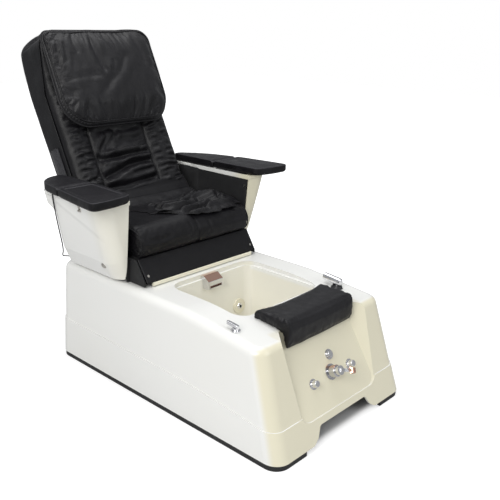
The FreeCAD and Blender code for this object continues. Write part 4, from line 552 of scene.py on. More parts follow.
def ridges(points, rows):
    """Soft rolls of leather along given lines."""
    total = np.zeros(len(points))
    for path, height, width in rows:
        line = smooth_path(path)
        reach = reaches(line)
        gap = np.linalg.norm(points[:, None, :] - line[None], axis=2)
        near = gap.argmin(1)
        share = reach[near] / reach[-1]
        ends = np.clip(share / 0.12, 0, 1) * np.clip((1 - share) / 0.18, 0, 1)
        total = np.maximum(total, height * ends ** 0.5 * np.exp(-(gap.min(1) / width) ** 2.4))
    return total


def new_mesh(name, points, faces):
    """A mesh from points in metres, with double points joined and its faces turned outwards."""
    mesh = bpy.data.meshes.new(name)
    mesh.from_pydata([tuple(p) for p in np.asarray(points, float)], [],
                     [tuple(int(i) for i in f) for f in faces])
    work = bmesh.new()
    work.from_mesh(mesh)
    bmesh.ops.remove_doubles(work, verts=work.verts, dist=JOIN_DISTANCE)
    bmesh.ops.recalc_face_normals(work, faces=work.faces)
    work.to_mesh(mesh)
    work.free()
    return mesh


def make_piece(name, points, faces, material, body, replaces=()):
    """A mesh of the frame from points in metres; it rides on body and may stand for CAD nodes."""
    mesh = new_mesh(name, points, faces)
    mesh.materials.append(MATERIALS[material])
    mesh.shade_smooth()
    obj = linked(name, mesh)
    if body:
        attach(obj, body)
    if replaces:
        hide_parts(*replaces)
    return obj


def inflate(points, faces, cap, voxel, pins, weight, spare):
    """Sew and fill a pad: voxel mesh of the form, cloth under pressure, then one subdivision.

    Points are in mm. pins and weight are functions of the points: how firmly the seam holds,
    and how far a place may swell. Returns points, normals and faces.
    """
    obj = linked("pad_form", new_mesh("pad_form", np.asarray(points, float) / 1000, faces))

    def settle():
        graph = bpy.context.evaluated_depsgraph_get()
        graph.update()
        made = bpy.data.meshes.new_from_object(obj.evaluated_get(graph), depsgraph=graph)
        obj.modifiers.clear()
        old, obj.data = obj.data, made
        bpy.data.meshes.remove(old)

    def coordinates():
        flat = np.empty(len(obj.data.vertices) * 3)
        obj.data.vertices.foreach_get("co", flat)
        return flat.reshape(-1, 3)
    remesh = obj.modifiers.new("voxels", "REMESH")
    remesh.mode = "VOXEL"
    remesh.voxel_size = voxel / 1000
    settle()
    start = coordinates()
    group = obj.vertex_groups.new(name="seam")
    for i, hold in enumerate(pins(start * 1000)):
        if hold > 0:
            group.add([i], float(hold), "REPLACE")
    cloth = obj.modifiers.new("fill", "CLOTH")
    cloth.collision_settings.use_collision = False
    cloth.point_cache.frame_start, cloth.point_cache.frame_end = 1, CLOTH_FRAMES
    rules = cloth.settings
    rules.quality = 5
    rules.mass = 0.3
    rules.tension_stiffness = rules.compression_stiffness = 15
    rules.shear_stiffness = 5
    rules.bending_stiffness = 0.4
    rules.shrink_min = -spare
    rules.use_pressure = True
    rules.uniform_pressure_force = 4.0
    rules.effector_weights.gravity = 0
    rules.vertex_group_mass = "seam"
    for step in range(1, CLOTH_FRAMES + 1):
        scene.frame_set(step)
    settle()
    scene.frame_set(1)
    move = (coordinates() - start) * 1000
    far = np.linalg.norm(move, axis=1, keepdims=True)
    move *= np.minimum(1, cap * np.tanh(far / cap) / np.maximum(far, 1e-6))
    move *= weight(start * 1000)[:, None]
    obj.data.vertices.foreach_set("co", ((start * 1000 + move) / 1000).ravel())
    obj.data.update()
    finer = obj.modifiers.new("finer", "SUBSURF")
    finer.levels = finer.render_levels = 1
    settle()
    points = coordinates() * 1000
    normals = np.array([v.normal[:] for v in obj.data.vertices])
    faces = [tuple(p.vertices) for p in obj.data.polygons]
    old = obj.data
    bpy.data.objects.remove(obj)
    bpy.data.meshes.remove(old)
    return points, normals, faces


def grid_faces(rows, columns, closed_rows=False, closed_columns=False):
    faces = []
    for i in range(rows if closed_rows else rows - 1):
        below = (i + 1) % rows
        for j in range(columns if closed_columns else columns - 1):
            beside = (j + 1) % columns
            faces.append((i * columns + j, i * columns + beside,
                          below * columns + beside, below * columns + j))
    return faces


def capped(count, ring):
    """Faces of a body of so many rings, with both ends filled."""
    ends = [tuple(range(ring)), tuple(range((count - 1) * ring, count * ring))[::-1]]
    return grid_faces(count, ring, closed_columns=True) + ends


def two_sided(rows, columns, sides=True):
    """Faces of a sheet of two layers of points, closed along its rows' ends and its sides."""
    n = rows * columns
    layer = grid_faces(rows, columns)
    rim = [(k, k + 1) for k in (*range(columns - 1), *range(n - columns, n - 1))]
    if sides:
        rim += [(k, k + columns) for i in range(rows - 1)
                for k in (i * columns, (i + 1) * columns - 1)]
    return (layer + [tuple(n + k for k in face[::-1]) for face in layer]
            + [(a, b, n + b, n + a) for a, b in rim])


def tube(path, radius, sides=8, closed=False):
    """Points and faces of a tube round a polyline, in the units of the path."""
    p = np.asarray(path, float)
    ahead = (np.roll(p, -1, 0) - np.roll(p, 1, 0)) if closed else np.gradient(p, axis=0)
    ahead /= np.linalg.norm(ahead, axis=1, keepdims=True) + 1e-12
    side = np.cross(ahead[0], (0.0, 0.0, 1.0))
    if np.linalg.norm(side) < 1e-3:
        side = np.cross(ahead[0], (0.0, 1.0, 0.0))
    turns = np.linspace(0, 2 * math.pi, sides, endpoint=False)
    points = []
    for spot, way in zip(p, ahead):
        side = side - way * (side @ way)
        side /= np.linalg.norm(side)
        over = np.cross(way, side)
        points += [spot + radius * (math.cos(a) * side + math.sin(a) * over) for a in turns]
    faces = grid_faces(len(p), sides, True, True) if closed else capped(len(p), sides)
    return np.array(points), faces


def merged(*parts):
    """Several (points, faces) as one."""
    points, faces, base = [], [], 0
    for more, theirs in parts:
        points.append(more)
        faces += [tuple(i + base for i in face) for face in theirs]
        base += len(more)
    return np.vstack(points), faces


# --- The handset lead ---------------------------------------------------------------------
LEAD = [(-455, 496, 752.5), (-454, 499, 733), (-420, 528, 606), (-389, 549, 498),
        (-380, 576, 462), (-362, 592, 451), (-345, 582, 450), (-345, 548, 450)]


def make_lead():
    data = bpy.data.curves.new("handset_lead_cord", "CURVE")
    data.dimensions = "3D"
    line = data.splines.new("NURBS")
    line.points.add(len(LEAD) - 1)
    for point, spot in zip(line.points, place(LEAD)):
        point.co = (*spot, 1.0)
    line.order_u = 3
    line.use_endpoint_u = True
    data.resolution_u = 16
    data.bevel_depth = 0.0025
    data.bevel_resolution = 4
    data.use_fill_caps = True
    data.materials.append(MATERIALS["black_rubber"])
    obj = linked("handset_lead_cord", data)
    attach(obj, "chair")
    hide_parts("handset_lead")


# --- Pillow: x and height u below its upper edge ------------------------------------------
PILLOW_LOW, PILLOW_HIGH, PILLOW_LENGTH = (-280, -418), (270, -4), 427.0
PILLOW_RADII = (40, 55, 112, 125)        # upper left, upper right, lower right, lower left
PILLOW_ACROSS, PILLOW_UP, PILLOW_CORNER = 56, 20, 14          # points on its sides and corners
PILLOW_INSETS = [0, 1.5, 4, 8, 13, 19, 26, 34, 43, 53, 64, 76, 88, 100, 112, 124, 136, 148, 160,
                 172, 184, 196, 206, 210.9]
PILLOW_FOLDS = [
    ([(-224, -40), (-240, -120), (-250, -200)], 7, 9),
    ([(-205, -60), (-212, -130), (-236, -205)], 5, 8),
    ([(-70, -30), (-64, -100), (-54, -180), (-38, -222)], 8, 13),
    ([(-2, -28), (24, -83), (58, -156)], 6, 12),
    ([(92, -110), (50, -180), (8, -218), (-60, -270), (-120, -330)], 6, 16),
    ([(-268, -250), (-209, -232), (-140, -222), (-50, -224)], 4, 12),
    ([(14, -150), (2, -190), (-16, -214)], 4, 9),
    ([(150, -30), (170, -100), (180, -190)], 5, 14),
    ([(236, -36), (246, -120), (240, -210)], 5, 10),
    ([(-150, -26), (-156, -80), (-150, -130)], 4, 10),
    ([(60, -420), (66, -370), (58, -320)], 4, 9),
    ([(-90, -424), (-84, -380), (-96, -336)], 4, 9),
    ([(150, -424), (146, -380), (160, -330)], 4, 9),
    ([(-190, -412), (-176, -372), (-186, -330)], 4, 9),
]


def pillow_outline(inset):
    """Points round the pillow at an inset, from the middle of its left side upwards."""
    x0, y0 = (value + inset for value in PILLOW_LOW)
    x1, y1 = (value - inset for value in PILLOW_HIGH)
    least = min(x1 - x0, y1 - y0) / 2
    ul, ur, lr, ll = (max(min(r - inset * 0.75, least - 0.01), 0.02 * r + 0.01)
                      for r in PILLOW_RADII)
    points = []

    def line(a, b, count):
        for t in np.linspace(0, 1, count, endpoint=False):
            points.append((a[0] + (b[0] - a[0]) * t, a[1] + (b[1] - a[1]) * t))

    def bend(x, y, r, start):
        for t in np.linspace(0, 1, PILLOW_CORNER, endpoint=False):
            a = math.radians(start - 90 * t)
            points.append((x + r * math.cos(a), y + r * math.sin(a)))
    mid = (y0 + y1) / 2
    line((x0, mid), (x0, y1 - ul), PILLOW_UP)
    bend(x0 + ul, y1 - ul, ul, 180)
    line((x0 + ul, y1), (x1 - ur, y1), PILLOW_ACROSS)
    bend(x1 - ur, y1 - ur, ur, 90)
    line((x1, y1 - ur), (x1, mid), PILLOW_UP)
    line((x1, mid), (x1, y0 + lr), PILLOW_UP)
    bend(x1 - lr, y0 + lr, lr, 0)
    line((x1 - lr, y0), (x0 + ll, y0), PILLOW_ACROSS)
    bend(x0 + ll, y0 + ll, ll, -90)
    line((x0, y0 + ll), (x0, mid), PILLOW_UP)
    return np.array(points)


def pillow_seam(u):
    """Depth of the pillow's seam."""
    return -15.0 - 48.0 * u / PILLOW_LENGTH


def pillow_swell(u, inset):
    """How far the stuffed front stands out from the seam."""
    full = 17 + 35 * np.sin(np.clip(-u / PILLOW_LENGTH * 1.1, 0, 1) * math.pi / 2)
    return full * (1 - (1 - np.clip(inset / 84, 0, 1)) ** 2.4) ** 0.62


def ring_faces(count, ring):
    """Quads between nested rings, and a zip across the last, which is nearly a line."""
    faces = grid_faces(count, ring, closed_columns=True)
    last = (count - 1) * ring
    for a in range(ring // 2):
        quad = [last + k % ring for k in (a, a + 1, ring - a - 1, ring - a)]
        quad = [q for n, q in enumerate(quad) if q not in quad[:n]]
        if len(quad) > 2:
            faces.append(tuple(quad))
    return faces


def make_pillow():
    nest = np.array([pillow_outline(inset) for inset in PILLOW_INSETS])
    inset = np.array(PILLOW_INSETS)[:, None]
    x, u = nest[..., 0], nest[..., 1]
    seam = pillow_seam(u)
    front = seam - 3.0 - 0.88 * pillow_swell(u, inset)
    rear_limit = np.interp(-u, [4, 18.5, 249.5, 397, 427], [-6, -17.4, 55.65, 61.65, 40]) - 2.0
    rear = np.clip(rear_limit - seam, 2.5, 60)
    rear = seam + rear * (1 - (1 - np.clip(inset / 60, 0.04, 1)) ** 3)
    rear = np.maximum(np.minimum(rear, rear_limit), seam + 2.5)
    count, ring = x.shape
    layer = ring_faces(count, ring)
    points, faces = merged((stacked(x, front, u), layer),
                           (stacked(x, rear, u), [face[::-1] for face in layer]))
    faces += [((j + 1) % ring, j, x.size + j, x.size + (j + 1) % ring) for j in range(ring)]
    edge_line = pillow_outline(2.0)

    def edge_gap(points):
        return np.linalg.norm(points[:, None, ::2] - edge_line[None], axis=2).min(1)

    def pinned(points):
        return np.clip((9 - edge_gap(points)) / 4, 0, 1)

    def free(points):
        return np.clip((pillow_seam(points[:, 2]) - points[:, 1] + 2) / 16, 0, 1)
    points, normals, faces = inflate(points, faces, 13, 4.2, pinned, free, 0.035)
    gap = edge_gap(points)
    ahead = np.clip(-normals[:, 1] * 1.6, 0, 1) * np.clip((gap - 4) / 26, 0, 1)
    space = stacked(points[:, 0], points[:, 2], 0)
    rough = (folds(space[:, :2], PILLOW_FOLDS) * 0.6 + 1.3 * field(space, (70, 90, 90), 3)
             + 0.6 * field(space, (26, 40, 40), 4))
    groove = -2.2 * bell(gap - 8.0, 2.2) * (normals[:, 1] < -0.1)
    points = points + normals * (rough * ahead + groove)[:, None]
    piping = []
    for inset, lift, radius in ((0.6, 0.0, 4.3), (11.0, 3.0, 2.6)):
        x, u = pillow_outline(inset).T
        path = stacked(x, pillow_seam(u) - pillow_swell(u, inset) - lift, u)
        piping.append(tube(path, radius, closed=True))
    points, faces = merged((points, faces), *piping)
    sag = 5.0 - points[:, 0] * 0.012 + 2.2 * np.sin(points[:, 0] / 34.0)
    points[:, 2] -= np.clip(1 + points[:, 2] / 100, 0, 1) * sag
    make_piece("head_pillow_leather", place(points, **HEAD), faces, "pillow_leather", "pillow",
               ("head_pillow",))


# --- Back: pad, pocket, shell; w is the way up it, u the height ---------------------------
SEAM_LEFT, SEAM_RIGHT = -158.0, 134.0
BACK_START, BACK_BEND, BACK_LENGTH, HEAD_TURN = 60.0, 552.0, 742.0, math.radians(22)
CROWN_ROUND, PAD_HALF, SHELL_HALF, POCKET_X = 58.0, 277.0, 280.0, -280.2
BACK_FOLDS = [
    ([(-150, 236), (-126, 281), (-87, 326), (-70, 350)], 11, 10),
    ([(-128, 240), (-90, 292), (-36, 342), (-20, 366)], 10, 11),
    ([(-156, 240), (-100, 239), (-30, 242), (50, 245), (128, 246)], 13, 9, 0.08, 0.8, 2.6),
    ([(-156, 158), (-102, 172), (-14, 196), (52, 205), (130, 211)], 14, 10, 0.08, 0.8, 2.8),
    ([(-156, 116), (-83, 112), (13, 120), (128, 130)], 12, 9, 0.08, 0.7, 2.6),
    ([(-150, 268), (-146, 240), (-148, 205)], 6, 6),
    ([(-60, 300), (0, 318), (70, 312), (128, 330)], 6, 14),
    ([(-140, 350), (-60, 366), (30, 358), (120, 372)], 7, 13),
    ([(-40, 196), (10, 216), (60, 222)], 4, 8),
    ([(-20, 158), (50, 166), (124, 172)], 5, 9),
    ([(-110, 205), (-70, 212), (-30, 226)], 4, 8),
    ([(60, 262), (90, 286), (128, 292)], 5, 8),
    ([(-158, 60), (-120, 78), (-60, 84)], 4, 9),
]


def ruche(points, inner, outer, seed):
    """Short cross creases that run in from both seams of a side column; points are (x, height)."""
    rng = np.random.default_rng(seed)
    total = np.zeros(len(points))
    lo, hi = min(inner, outer), max(inner, outer)
    for seam, way in ((lo, 1), (hi, -1)):
        u = 70.0
        while u < 780:
            u += rng.uniform(15, 34)
            reach = way * (hi - lo) * rng.uniform(0.3, 0.8)
            tilt = rng.uniform(-14, 16)
            bow = rng.uniform(-6, 6)
            path = [(seam + way, u), (seam + reach * 0.5, u + tilt * 0.5 + bow),
                    (seam + reach, u + tilt)]
            total += fold(points, path, 6.5 * rng.uniform(0.5, 1.1), rng.uniform(4.5, 8.5),
                          0.4, 0.6)
    return total


def back_frame_at(w):
    """Depth and height of the seam plane at a distance w up the back, and how far it leans."""
    over = w - BACK_BEND + BACK_START
    turn = HEAD_TURN * smoothstep(np.clip((over + 70) / 140, 0, 1))
    above = np.clip(over, 0, None)
    v = -62.4 - above * math.sin(HEAD_TURN)
    u = BACK_START + np.minimum(w, BACK_BEND - BACK_START) + above * math.cos(HEAD_TURN)
    return v, u, turn


def crown_share(w):
    """0 to 1 up the rounded upper corners of the back."""
    return round_off((w - BACK_LENGTH + CROWN_ROUND) / CROWN_ROUND)


def make_back_pad():
    edge, flat_share, least = 40.0, 0.84, 0.35
    stations = np.concatenate([np.arange(0, 480, 4.5), np.arange(480, BACK_LENGTH, 8),
                               [BACK_LENGTH - 0.5]])
    across = np.linspace(-1, 1, 129)
    bend = np.clip((np.abs(across) - flat_share) / (1 - flat_share), 0, 1) * math.pi / 2
    profile = np.sign(across) * (np.minimum(np.abs(across) / flat_share, 1) * (PAD_HALF - edge)
                                 + edge * np.sin(bend))
    x, w = np.meshgrid(profile, stations)
    h = np.cos(bend) ** 0.6
    v, u, turn = back_frame_at(w)
    thick = np.interp(w, [0, 470, 560, 742], [46, 46, 26, 12])
    thick *= np.interp(w, [0, 12, 36], [0.55, 0.85, 1.0])
    close = np.interp(w, [0, 470, 742], [1, 1, 0.25])
    space = stacked(x, u, 0)
    flat = space[:, :2]
    at = flat[:, 0]
    middle = (at >= SEAM_LEFT) & (at <= SEAM_RIGHT)
    rough = 0.7 * field(space, (22, 16, 22), 23)
    rough[middle] += folds(flat[middle], BACK_FOLDS)
    rough[middle] += 2.2 * field(space[middle], (60, 40, 60), 21)
    rough[~middle] += 1.2 * field(space[~middle], (40, 22, 40), 22)
    rough += np.where(middle, 3.5 * np.cos((at + 12) / 146 * math.pi / 2), 0)
    for seam, outer, wide, seed in ((SEAM_LEFT, -262, 112, 5), (SEAM_RIGHT, 262, 136, 6)):
        beyond = math.copysign(1, outer) * (at - seam)
        column = beyond > 0
        rough[column] += ruche(flat[column], seam, outer, seed)
        gap = at - seam - 2.5 * np.sin(flat[:, 1] / 61.0)
        rough -= 9 * bell(gap, 5.0) + 6 * bell(gap, 20.0)
        rough += 7 * np.sin(np.clip(beyond / wide, 0, 1) * math.pi)
    height = np.maximum(h * thick + rough.reshape(x.shape) * h ** 1.5 * close, least)
    x = x * (1 - CROWN_ROUND * crown_share(w) / PAD_HALF)
    front, rear = (stacked(x, v - out * np.cos(turn), u - out * np.sin(turn))
                   for out in (height, least))
    make_piece("back_pad_leather", place(np.vstack([front, rear]), **BACK),
               two_sided(*x.shape, sides=False), "black_leather", "back", ("back_pad",))
    lengths = np.linspace(6, 736, 90)
    v, u, turn = back_frame_at(lengths)
    for side, tag in ((-1, "left"), (1, "right")):
        path = stacked(side * (279.5 - CROWN_ROUND * crown_share(lengths)),
                       v - 2.6 * np.cos(turn), u - 2.6 * np.sin(turn))
        points, faces = tube(path, 2.4)
        make_piece(f"back_piping_{tag}", place(points, **BACK), faces, "black_leather", "back")


def make_pocket():
    """Mesh pocket on the left flank of the back: a sagging pouch with a thick elastic hem."""
    low, tall, fore, deep = 150, 180, -37, 61
    v, u = np.meshgrid(np.linspace(fore, fore + deep, 36), np.linspace(low, low + tall, 40))
    a = np.clip((v - fore) / deep, 0, 1)
    b = np.clip((u - low) / tall, 0, 1)
    swell = np.sin(a * math.pi) ** 0.5 * np.clip(b / 0.18, 0, 1) ** 0.6
    sag = 7.5 + 4.5 * np.sin(b * math.pi * 0.6)
    loose = 0.9 * field(stacked(v, u, 0), (18, 30, 30), 31).reshape(v.shape)
    out = np.clip(swell * (sag + loose), 0.4, 12.5)
    round_low = 14 * round_off(1 - (u - low) / 14)
    v = np.where(v < -6, v + round_low * (a < 0.3), v - round_low * (a > 0.7))
    sheet = [stacked(POCKET_X - reach, v, u) for reach in (out, np.maximum(out - 1.4, 0.1))]
    hem = tube(stacked(POCKET_X - out[-1], v[-1], u[-1]), 2.2)
    points, faces = merged((np.vstack(sheet), two_sided(*v.shape)), hem)
    make_piece("side_pocket_net", place(points, **BACK), faces, "mesh_fabric", "back",
               ("side_pocket",))


def make_back_shell():
    """Leather shell of the back: flanks and rear pulled tight, closed by a lining just inside."""
    rear = np.array([(68.0, BACK_START + 11 * i) for i in range(38)])
    bend = smooth_path([(68, 490), (69, 545), (68, 598), (63, 650), (56, 702)], 8)
    crown = smooth_path([(56, 702), (46, 752), (32, 790), (6, 818), (-36, 829), (-84, 824),
                         (-124, 811), (-153.5, 786)], 8)
    line = np.vstack([rear, bend[:-1], crown])
    rise = np.maximum.accumulate(line[:, 1])
    round_top = CROWN_ROUND * round_off((rise - 765) / 64)
    along = np.clip((line[:, 1] - BACK_BEND) / math.cos(HEAD_TURN) + BACK_BEND - BACK_START, 0,
                    BACK_LENGTH)
    round_front = np.maximum.accumulate(60 * crown_share(along))
    flank = np.linspace(0, 1, 16)
    arc = np.linspace(0, math.pi / 2, 9)[1:-1]
    span = np.linspace(-1, 1, 47)
    head = np.array((-156.0, 784.0))
    step = np.gradient(line, axis=0)
    step /= np.linalg.norm(step, axis=1, keepdims=True)
    rows = []
    for spot, way, top, narrow, close in zip(line, step, rise, round_top, round_front):
        front = -62.0 - max(spot[1] - BACK_BEND, 0) * math.tan(HEAD_TURN)
        start = head if top > head[1] else np.array((front, spot[1]))
        out = np.array((way[1], -way[0]))
        edge = min(38.0, max(np.linalg.norm(spot - start), 0.5) * 0.8)
        shoulder = spot - out * edge
        wide = SHELL_HALF - narrow
        fore = SHELL_HALF - max(narrow, close)
        left = [(-(fore + (wide - fore) * t), *(start + (shoulder - start) * t)) for t in flank]
        left += [(-wide + edge * (1 - math.cos(t)), *(spot - out * edge * (1 - math.sin(t))))
                 for t in arc]
        rows.append(left + [((wide - edge) * t, *spot) for t in span]
                    + [(-x, y, z) for x, y, z in left[::-1]])
    points = np.array(rows)
    flat = points.reshape(-1, 3)
    loose = 1.1 * field(flat, (120, 90, 130), 41) + 0.5 * field(flat, (40, 40, 60), 42)
    normal = stacked(np.clip(flat[:, 0] / 240, -1, 1) ** 5,
                     (np.abs(flat[:, 0]) < 262) * np.clip((flat[:, 1] - 20) / 40, 0, 1), 0)
    outer = flat + normal * (loose - 1.6)[:, None]
    inner = flat * (0.985, 1, 1) - (0, 4.0, 0)
    inner[:, 2] = np.minimum(inner[:, 2], 806)
    make_piece("back_shell_leather", place(np.vstack([outer, inner]), **BACK),
               two_sided(*points.shape[:2]), "black_leather", "back", ("back_cover",))


# --- Seat: cushion, loose mat, apron ------------------------------------------------------
def outward(line):
    """Unit normals of a closed line, pointing away from its middle."""
    step = np.roll(line, -1, 0) - np.roll(line, 1, 0)
    normal = np.stack([step[:, 1], -step[:, 0]], -1)
    normal /= np.linalg.norm(normal, axis=1, keepdims=True) + 1e-9
    if ((line - line.mean(0)) * normal).sum() < 0:
        normal = -normal
    return normal


def loft(line, half, edge, step=7.0, cap=0.0):
    """Points and faces of a cushion of one outline along X, with rounded ends."""
    normal = outward(line)
    straight = half - edge
    ends = [(straight + edge * math.sin(t), edge * (1 - math.cos(t)))
            for t in np.linspace(0, math.pi / 2, 7)[1:]]
    stations = [(-x, inset) for x, inset in ends[::-1]]
    stations += [(x, 0.0) for x in np.arange(-straight, straight + 0.1, step)] + ends
    rows = [stacked(x, *(line - normal * inset).T) for x, inset in stations]
    centre, last = line.mean(0), line - normal * edge
    for share in (0.8, 0.55, 0.3, 0.1):
        ring = (centre + (last - centre) * share).T
        x = half + cap * (1 - share ** 2)
        rows = [stacked(-x, *ring), *rows, stacked(x, *ring)]
    return np.vstack(rows), capped(len(rows), len(line))


SEAT_LINE = [(524, 528), (527, 590), (522, 632), (470, 637), (380, 637.5), (290, 637), (230, 633),
             (188, 620), (166, 592), (162, 562), (170, 538), (190, 526.5), (260, 525), (350, 525),
             (440, 525)]
SEAT_DRAGS = [([(-290, 600), (-210, 585), (-120, 590)], 2.5, 9),
              ([(286, 604), (210, 592), (140, 598)], 2.5, 9),
              ([(-40, 560), (-30, 590), (-34, 620)], 1.6, 7),
              ([(60, 552), (70, 580), (64, 612)], 1.4, 7),
              ([(-280, 560), (-200, 552), (-130, 556)], 1.8, 8)]
SEAT_TOP = 637.4


def make_seat_cushion():
    line = closed_line(SEAT_LINE, 150)

    def held(points):
        return np.clip((531 - points[:, 2]) / 4, 0, 1)

    def loosened(points):
        room = np.clip((297.5 - np.abs(points[:, 0])) / 20, 0, 1)
        return np.clip((points[:, 2] - 530) / 30, 0, 1) * room
    points, normals, faces = inflate(*loft(line, 295.0, 17.0), 6, 6.0, held, loosened, 0.02)
    x, y, z = points.T
    front = np.clip((250 - y) / 60, 0, 1)
    top = np.clip((z - 560) / 60, 0, 1)
    swell = front * 3.0 * np.cos(np.clip(x / 300, -1, 1) * math.pi / 2) ** 0.5
    loose = 1.3 * field(points, (90, 60, 60), 51) + 0.5 * field(points, (26, 24, 24), 52)
    pucker = 1.8 * bell(np.abs(x) - 286, 26) * field(points * (0.2, 1, 1), (60, 11, 11), 53)
    centre = -2.6 * bell(x - 6, 4.0) - 1.4 * bell(x - 6, 22)
    drag = folds(stacked(x, z), SEAT_DRAGS) * front
    move = (swell + (loose + pucker + centre + drag) * np.maximum(front, top * 0.6))
    points = points + normals * (move * (z > 528))[:, None]
    points[:, 2] = np.where(y > 240, np.minimum(points[:, 2], SEAT_TOP), points[:, 2])
    ring = (line - outward(line) * 3.2).T
    piping = [tube(stacked(side * 291.5, *ring), 2.6, closed=True) for side in (-1, 1)]
    points, faces = merged((points, faces), *piping)
    make_piece("seat_cushion_leather", place(points), faces, "seat_leather", "chair",
               ("seat_cushion",))


MAT_ROLLS = [
    ([(-44, 388), (-18, 356), (31, 345), (93, 358), (162, 388), (230, 420)], 23, 17),
    ([(-52, 345), (-6, 326), (40, 308), (92, 312), (150, 330)], 24, 17),
    ([(-96, 334), (-88, 306), (-66, 268), (-44, 226), (-18, 200), (40, 200), (96, 214)], 17, 15),
    ([(-10, 270), (30, 258), (80, 262), (130, 280)], 12, 13),
    ([(96, 232), (160, 232), (226, 236), (292, 262)], 17, 24),
]
MAT_CREASES = [
    ([(-60, 420), (-2, 412), (60, 392), (136, 408), (205, 440)], 13, 8),
    ([(-66, 362), (-40, 350), (-8, 336), (30, 326), (62, 326)], 12, 7),
    ([(-70, 300), (-39, 290), (-8, 284), (40, 280), (92, 284)], 13, 8),
    ([(-40, 236), (0, 234), (52, 240), (118, 250), (180, 262)], 12, 9),
    ([(110, 330), (150, 300), (210, 286), (262, 300)], 7, 11),
    ([(150, 400), (196, 372), (250, 366)], 6, 9),
    ([(60, 352), (84, 336), (112, 334)], 6, 6),
    ([(196, 250), (224, 280), (232, 316)], 6, 8),
]
MAT_UNDER, MAT_LOW = 637.7, 638.2        # its lower and upper face where it lies flat


def make_mat():
    """The loose mat: hangs from the foot of the back pad, lies on the seat and is rucked up."""
    columns, rows = 121, 96
    s, t = np.meshgrid(np.linspace(0, 1, columns), np.linspace(0, 1, rows))
    left = np.interp(t, [0, 0.3, 0.6, 0.85, 1], [-132, -150, -132, -104, -66])
    right = np.interp(t, [0, 0.2, 0.4, 0.7, 1], [250, 262, 290, 306, 296])
    wobble = 7 * np.sin(t * 17) + 5 * np.sin(t * 31 + 1)
    x = left + (right - left) * s + wobble * ((s - 0.5) * 2) ** 3
    rear = 552.0
    front = np.interp(s, [0, 0.15, 0.35, 0.6, 0.8, 1], [276, 214, 178, 178, 190, 214])
    front = front + 7 * np.sin(s * 22) + 4 * np.sin(s * 41 + 2)
    y = rear + (front - rear) * t
    lying = smoothstep(np.clip((t - 0.12) / 0.2, 0, 1))
    hang = np.interp(t, [0, 0.04, 0.12, 0.3], [712, 690, 661, 645])
    base = hang * (1 - lying) + 641 * lying
    space = stacked(x, y, 0)
    flat = space[:, :2]
    hump = 44 * np.exp(-((x - 214) / 82) ** 2 - ((y - 326) / 96) ** 2)
    rolls = ridges(flat, MAT_ROLLS).reshape(x.shape)
    detail = (folds(flat, MAT_CREASES) + 1.0 * field(space, (30, 22, 26), 61)
              + 0.6 * field(space, (13, 12, 13), 62)).reshape(x.shape)
    active = np.clip((x + 112) / 40, 0, 1) * np.clip((505 - y) / 60, 0, 1)
    calm = 0.8 * field(space, (70, 60, 60), 63).reshape(x.shape)
    z = base + np.maximum(hump, rolls + 0.35 * hump) * active + detail * active + calm
    edge = np.clip(np.minimum(np.minimum(s, 1 - s) * columns, (1 - t) * rows) / 5.0, 0, 1)
    lift = np.where(t > 0.25, MAT_LOW + (z - MAT_LOW) * (0.25 + 0.75 * np.sqrt(edge)), z)
    z = np.maximum(lift, MAT_LOW)
    y = np.where(t < 0.12, y - 3.0, y)
    top = stacked(x, y, z)
    low = stacked(x, y + 2.0 * (t < 0.2), np.maximum(z - 3.0, MAT_UNDER))
    grid = top.reshape(rows, columns, 3)
    hem_path = np.vstack([grid[:, -1], grid[-1, -2::-1], grid[-2:0:-1, 0]]) + (0, 0, 0.4)
    points, faces = merged((np.vstack([top, low]), two_sided(rows, columns)),
                           tube(hem_path[::2], 2.3, sides=6))
    obj = make_piece("seat_mat_leather", place(points), faces, "seat_leather", None)
    grid = grid / 1000
    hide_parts("seat_flap")
    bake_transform(obj)


def make_apron():
    """Leather over the sloping board in front of the seat, hemmed along its sides and foot."""
    columns, rows, half = 101, 26, 299.5
    (low_y, low_z), (high_y, high_z) = (126, 438.2), (184, 522)
    x, t = np.meshgrid(np.linspace(-half, half, columns), np.linspace(0, 1, rows))
    y = low_y + (high_y - low_y) * t
    z = low_z + (high_z - low_z) * t
    slope = math.atan2(58, 84)
    space = stacked(x, y, z)
    side_gap = half - np.abs(x)
    edge = np.minimum(np.clip(side_gap / 10, 0, 1), np.clip(t / 0.1, 0, 1))
    loose = 0.8 * field(space, (120, 40, 40), 71) + 0.35 * field(space, (30, 24, 24), 72)
    hem = -bell(side_gap - 13, 2.2) - bell(t * 102 - 9, 2.2)
    out = (0.5 + 1.6 * np.sin(t * math.pi) + loose.reshape(x.shape) + hem) * edge + 0.2
    face = stacked(x, y - math.cos(slope) * out, z + math.sin(slope) * out)
    make_piece("apron_leather", place(np.vstack([face, stacked(x, y + 9.5, z)])),
               two_sided(rows, columns), "seat_leather", "chair", ("front_apron",))


# --- Footrest cushion ---------------------------------------------------------------------
REST_LINE = [(-470, 339), (-475, 358), (-476.5, 390), (-475, 420), (-463, 434.5), (-430, 438),
             (-370, 438), (-332, 437), (-317, 430), (-313.5, 414), (-315, 402), (-340, 403.5),
             (-390, 399), (-440, 394), (-453, 384), (-458, 362), (-461, 340)]


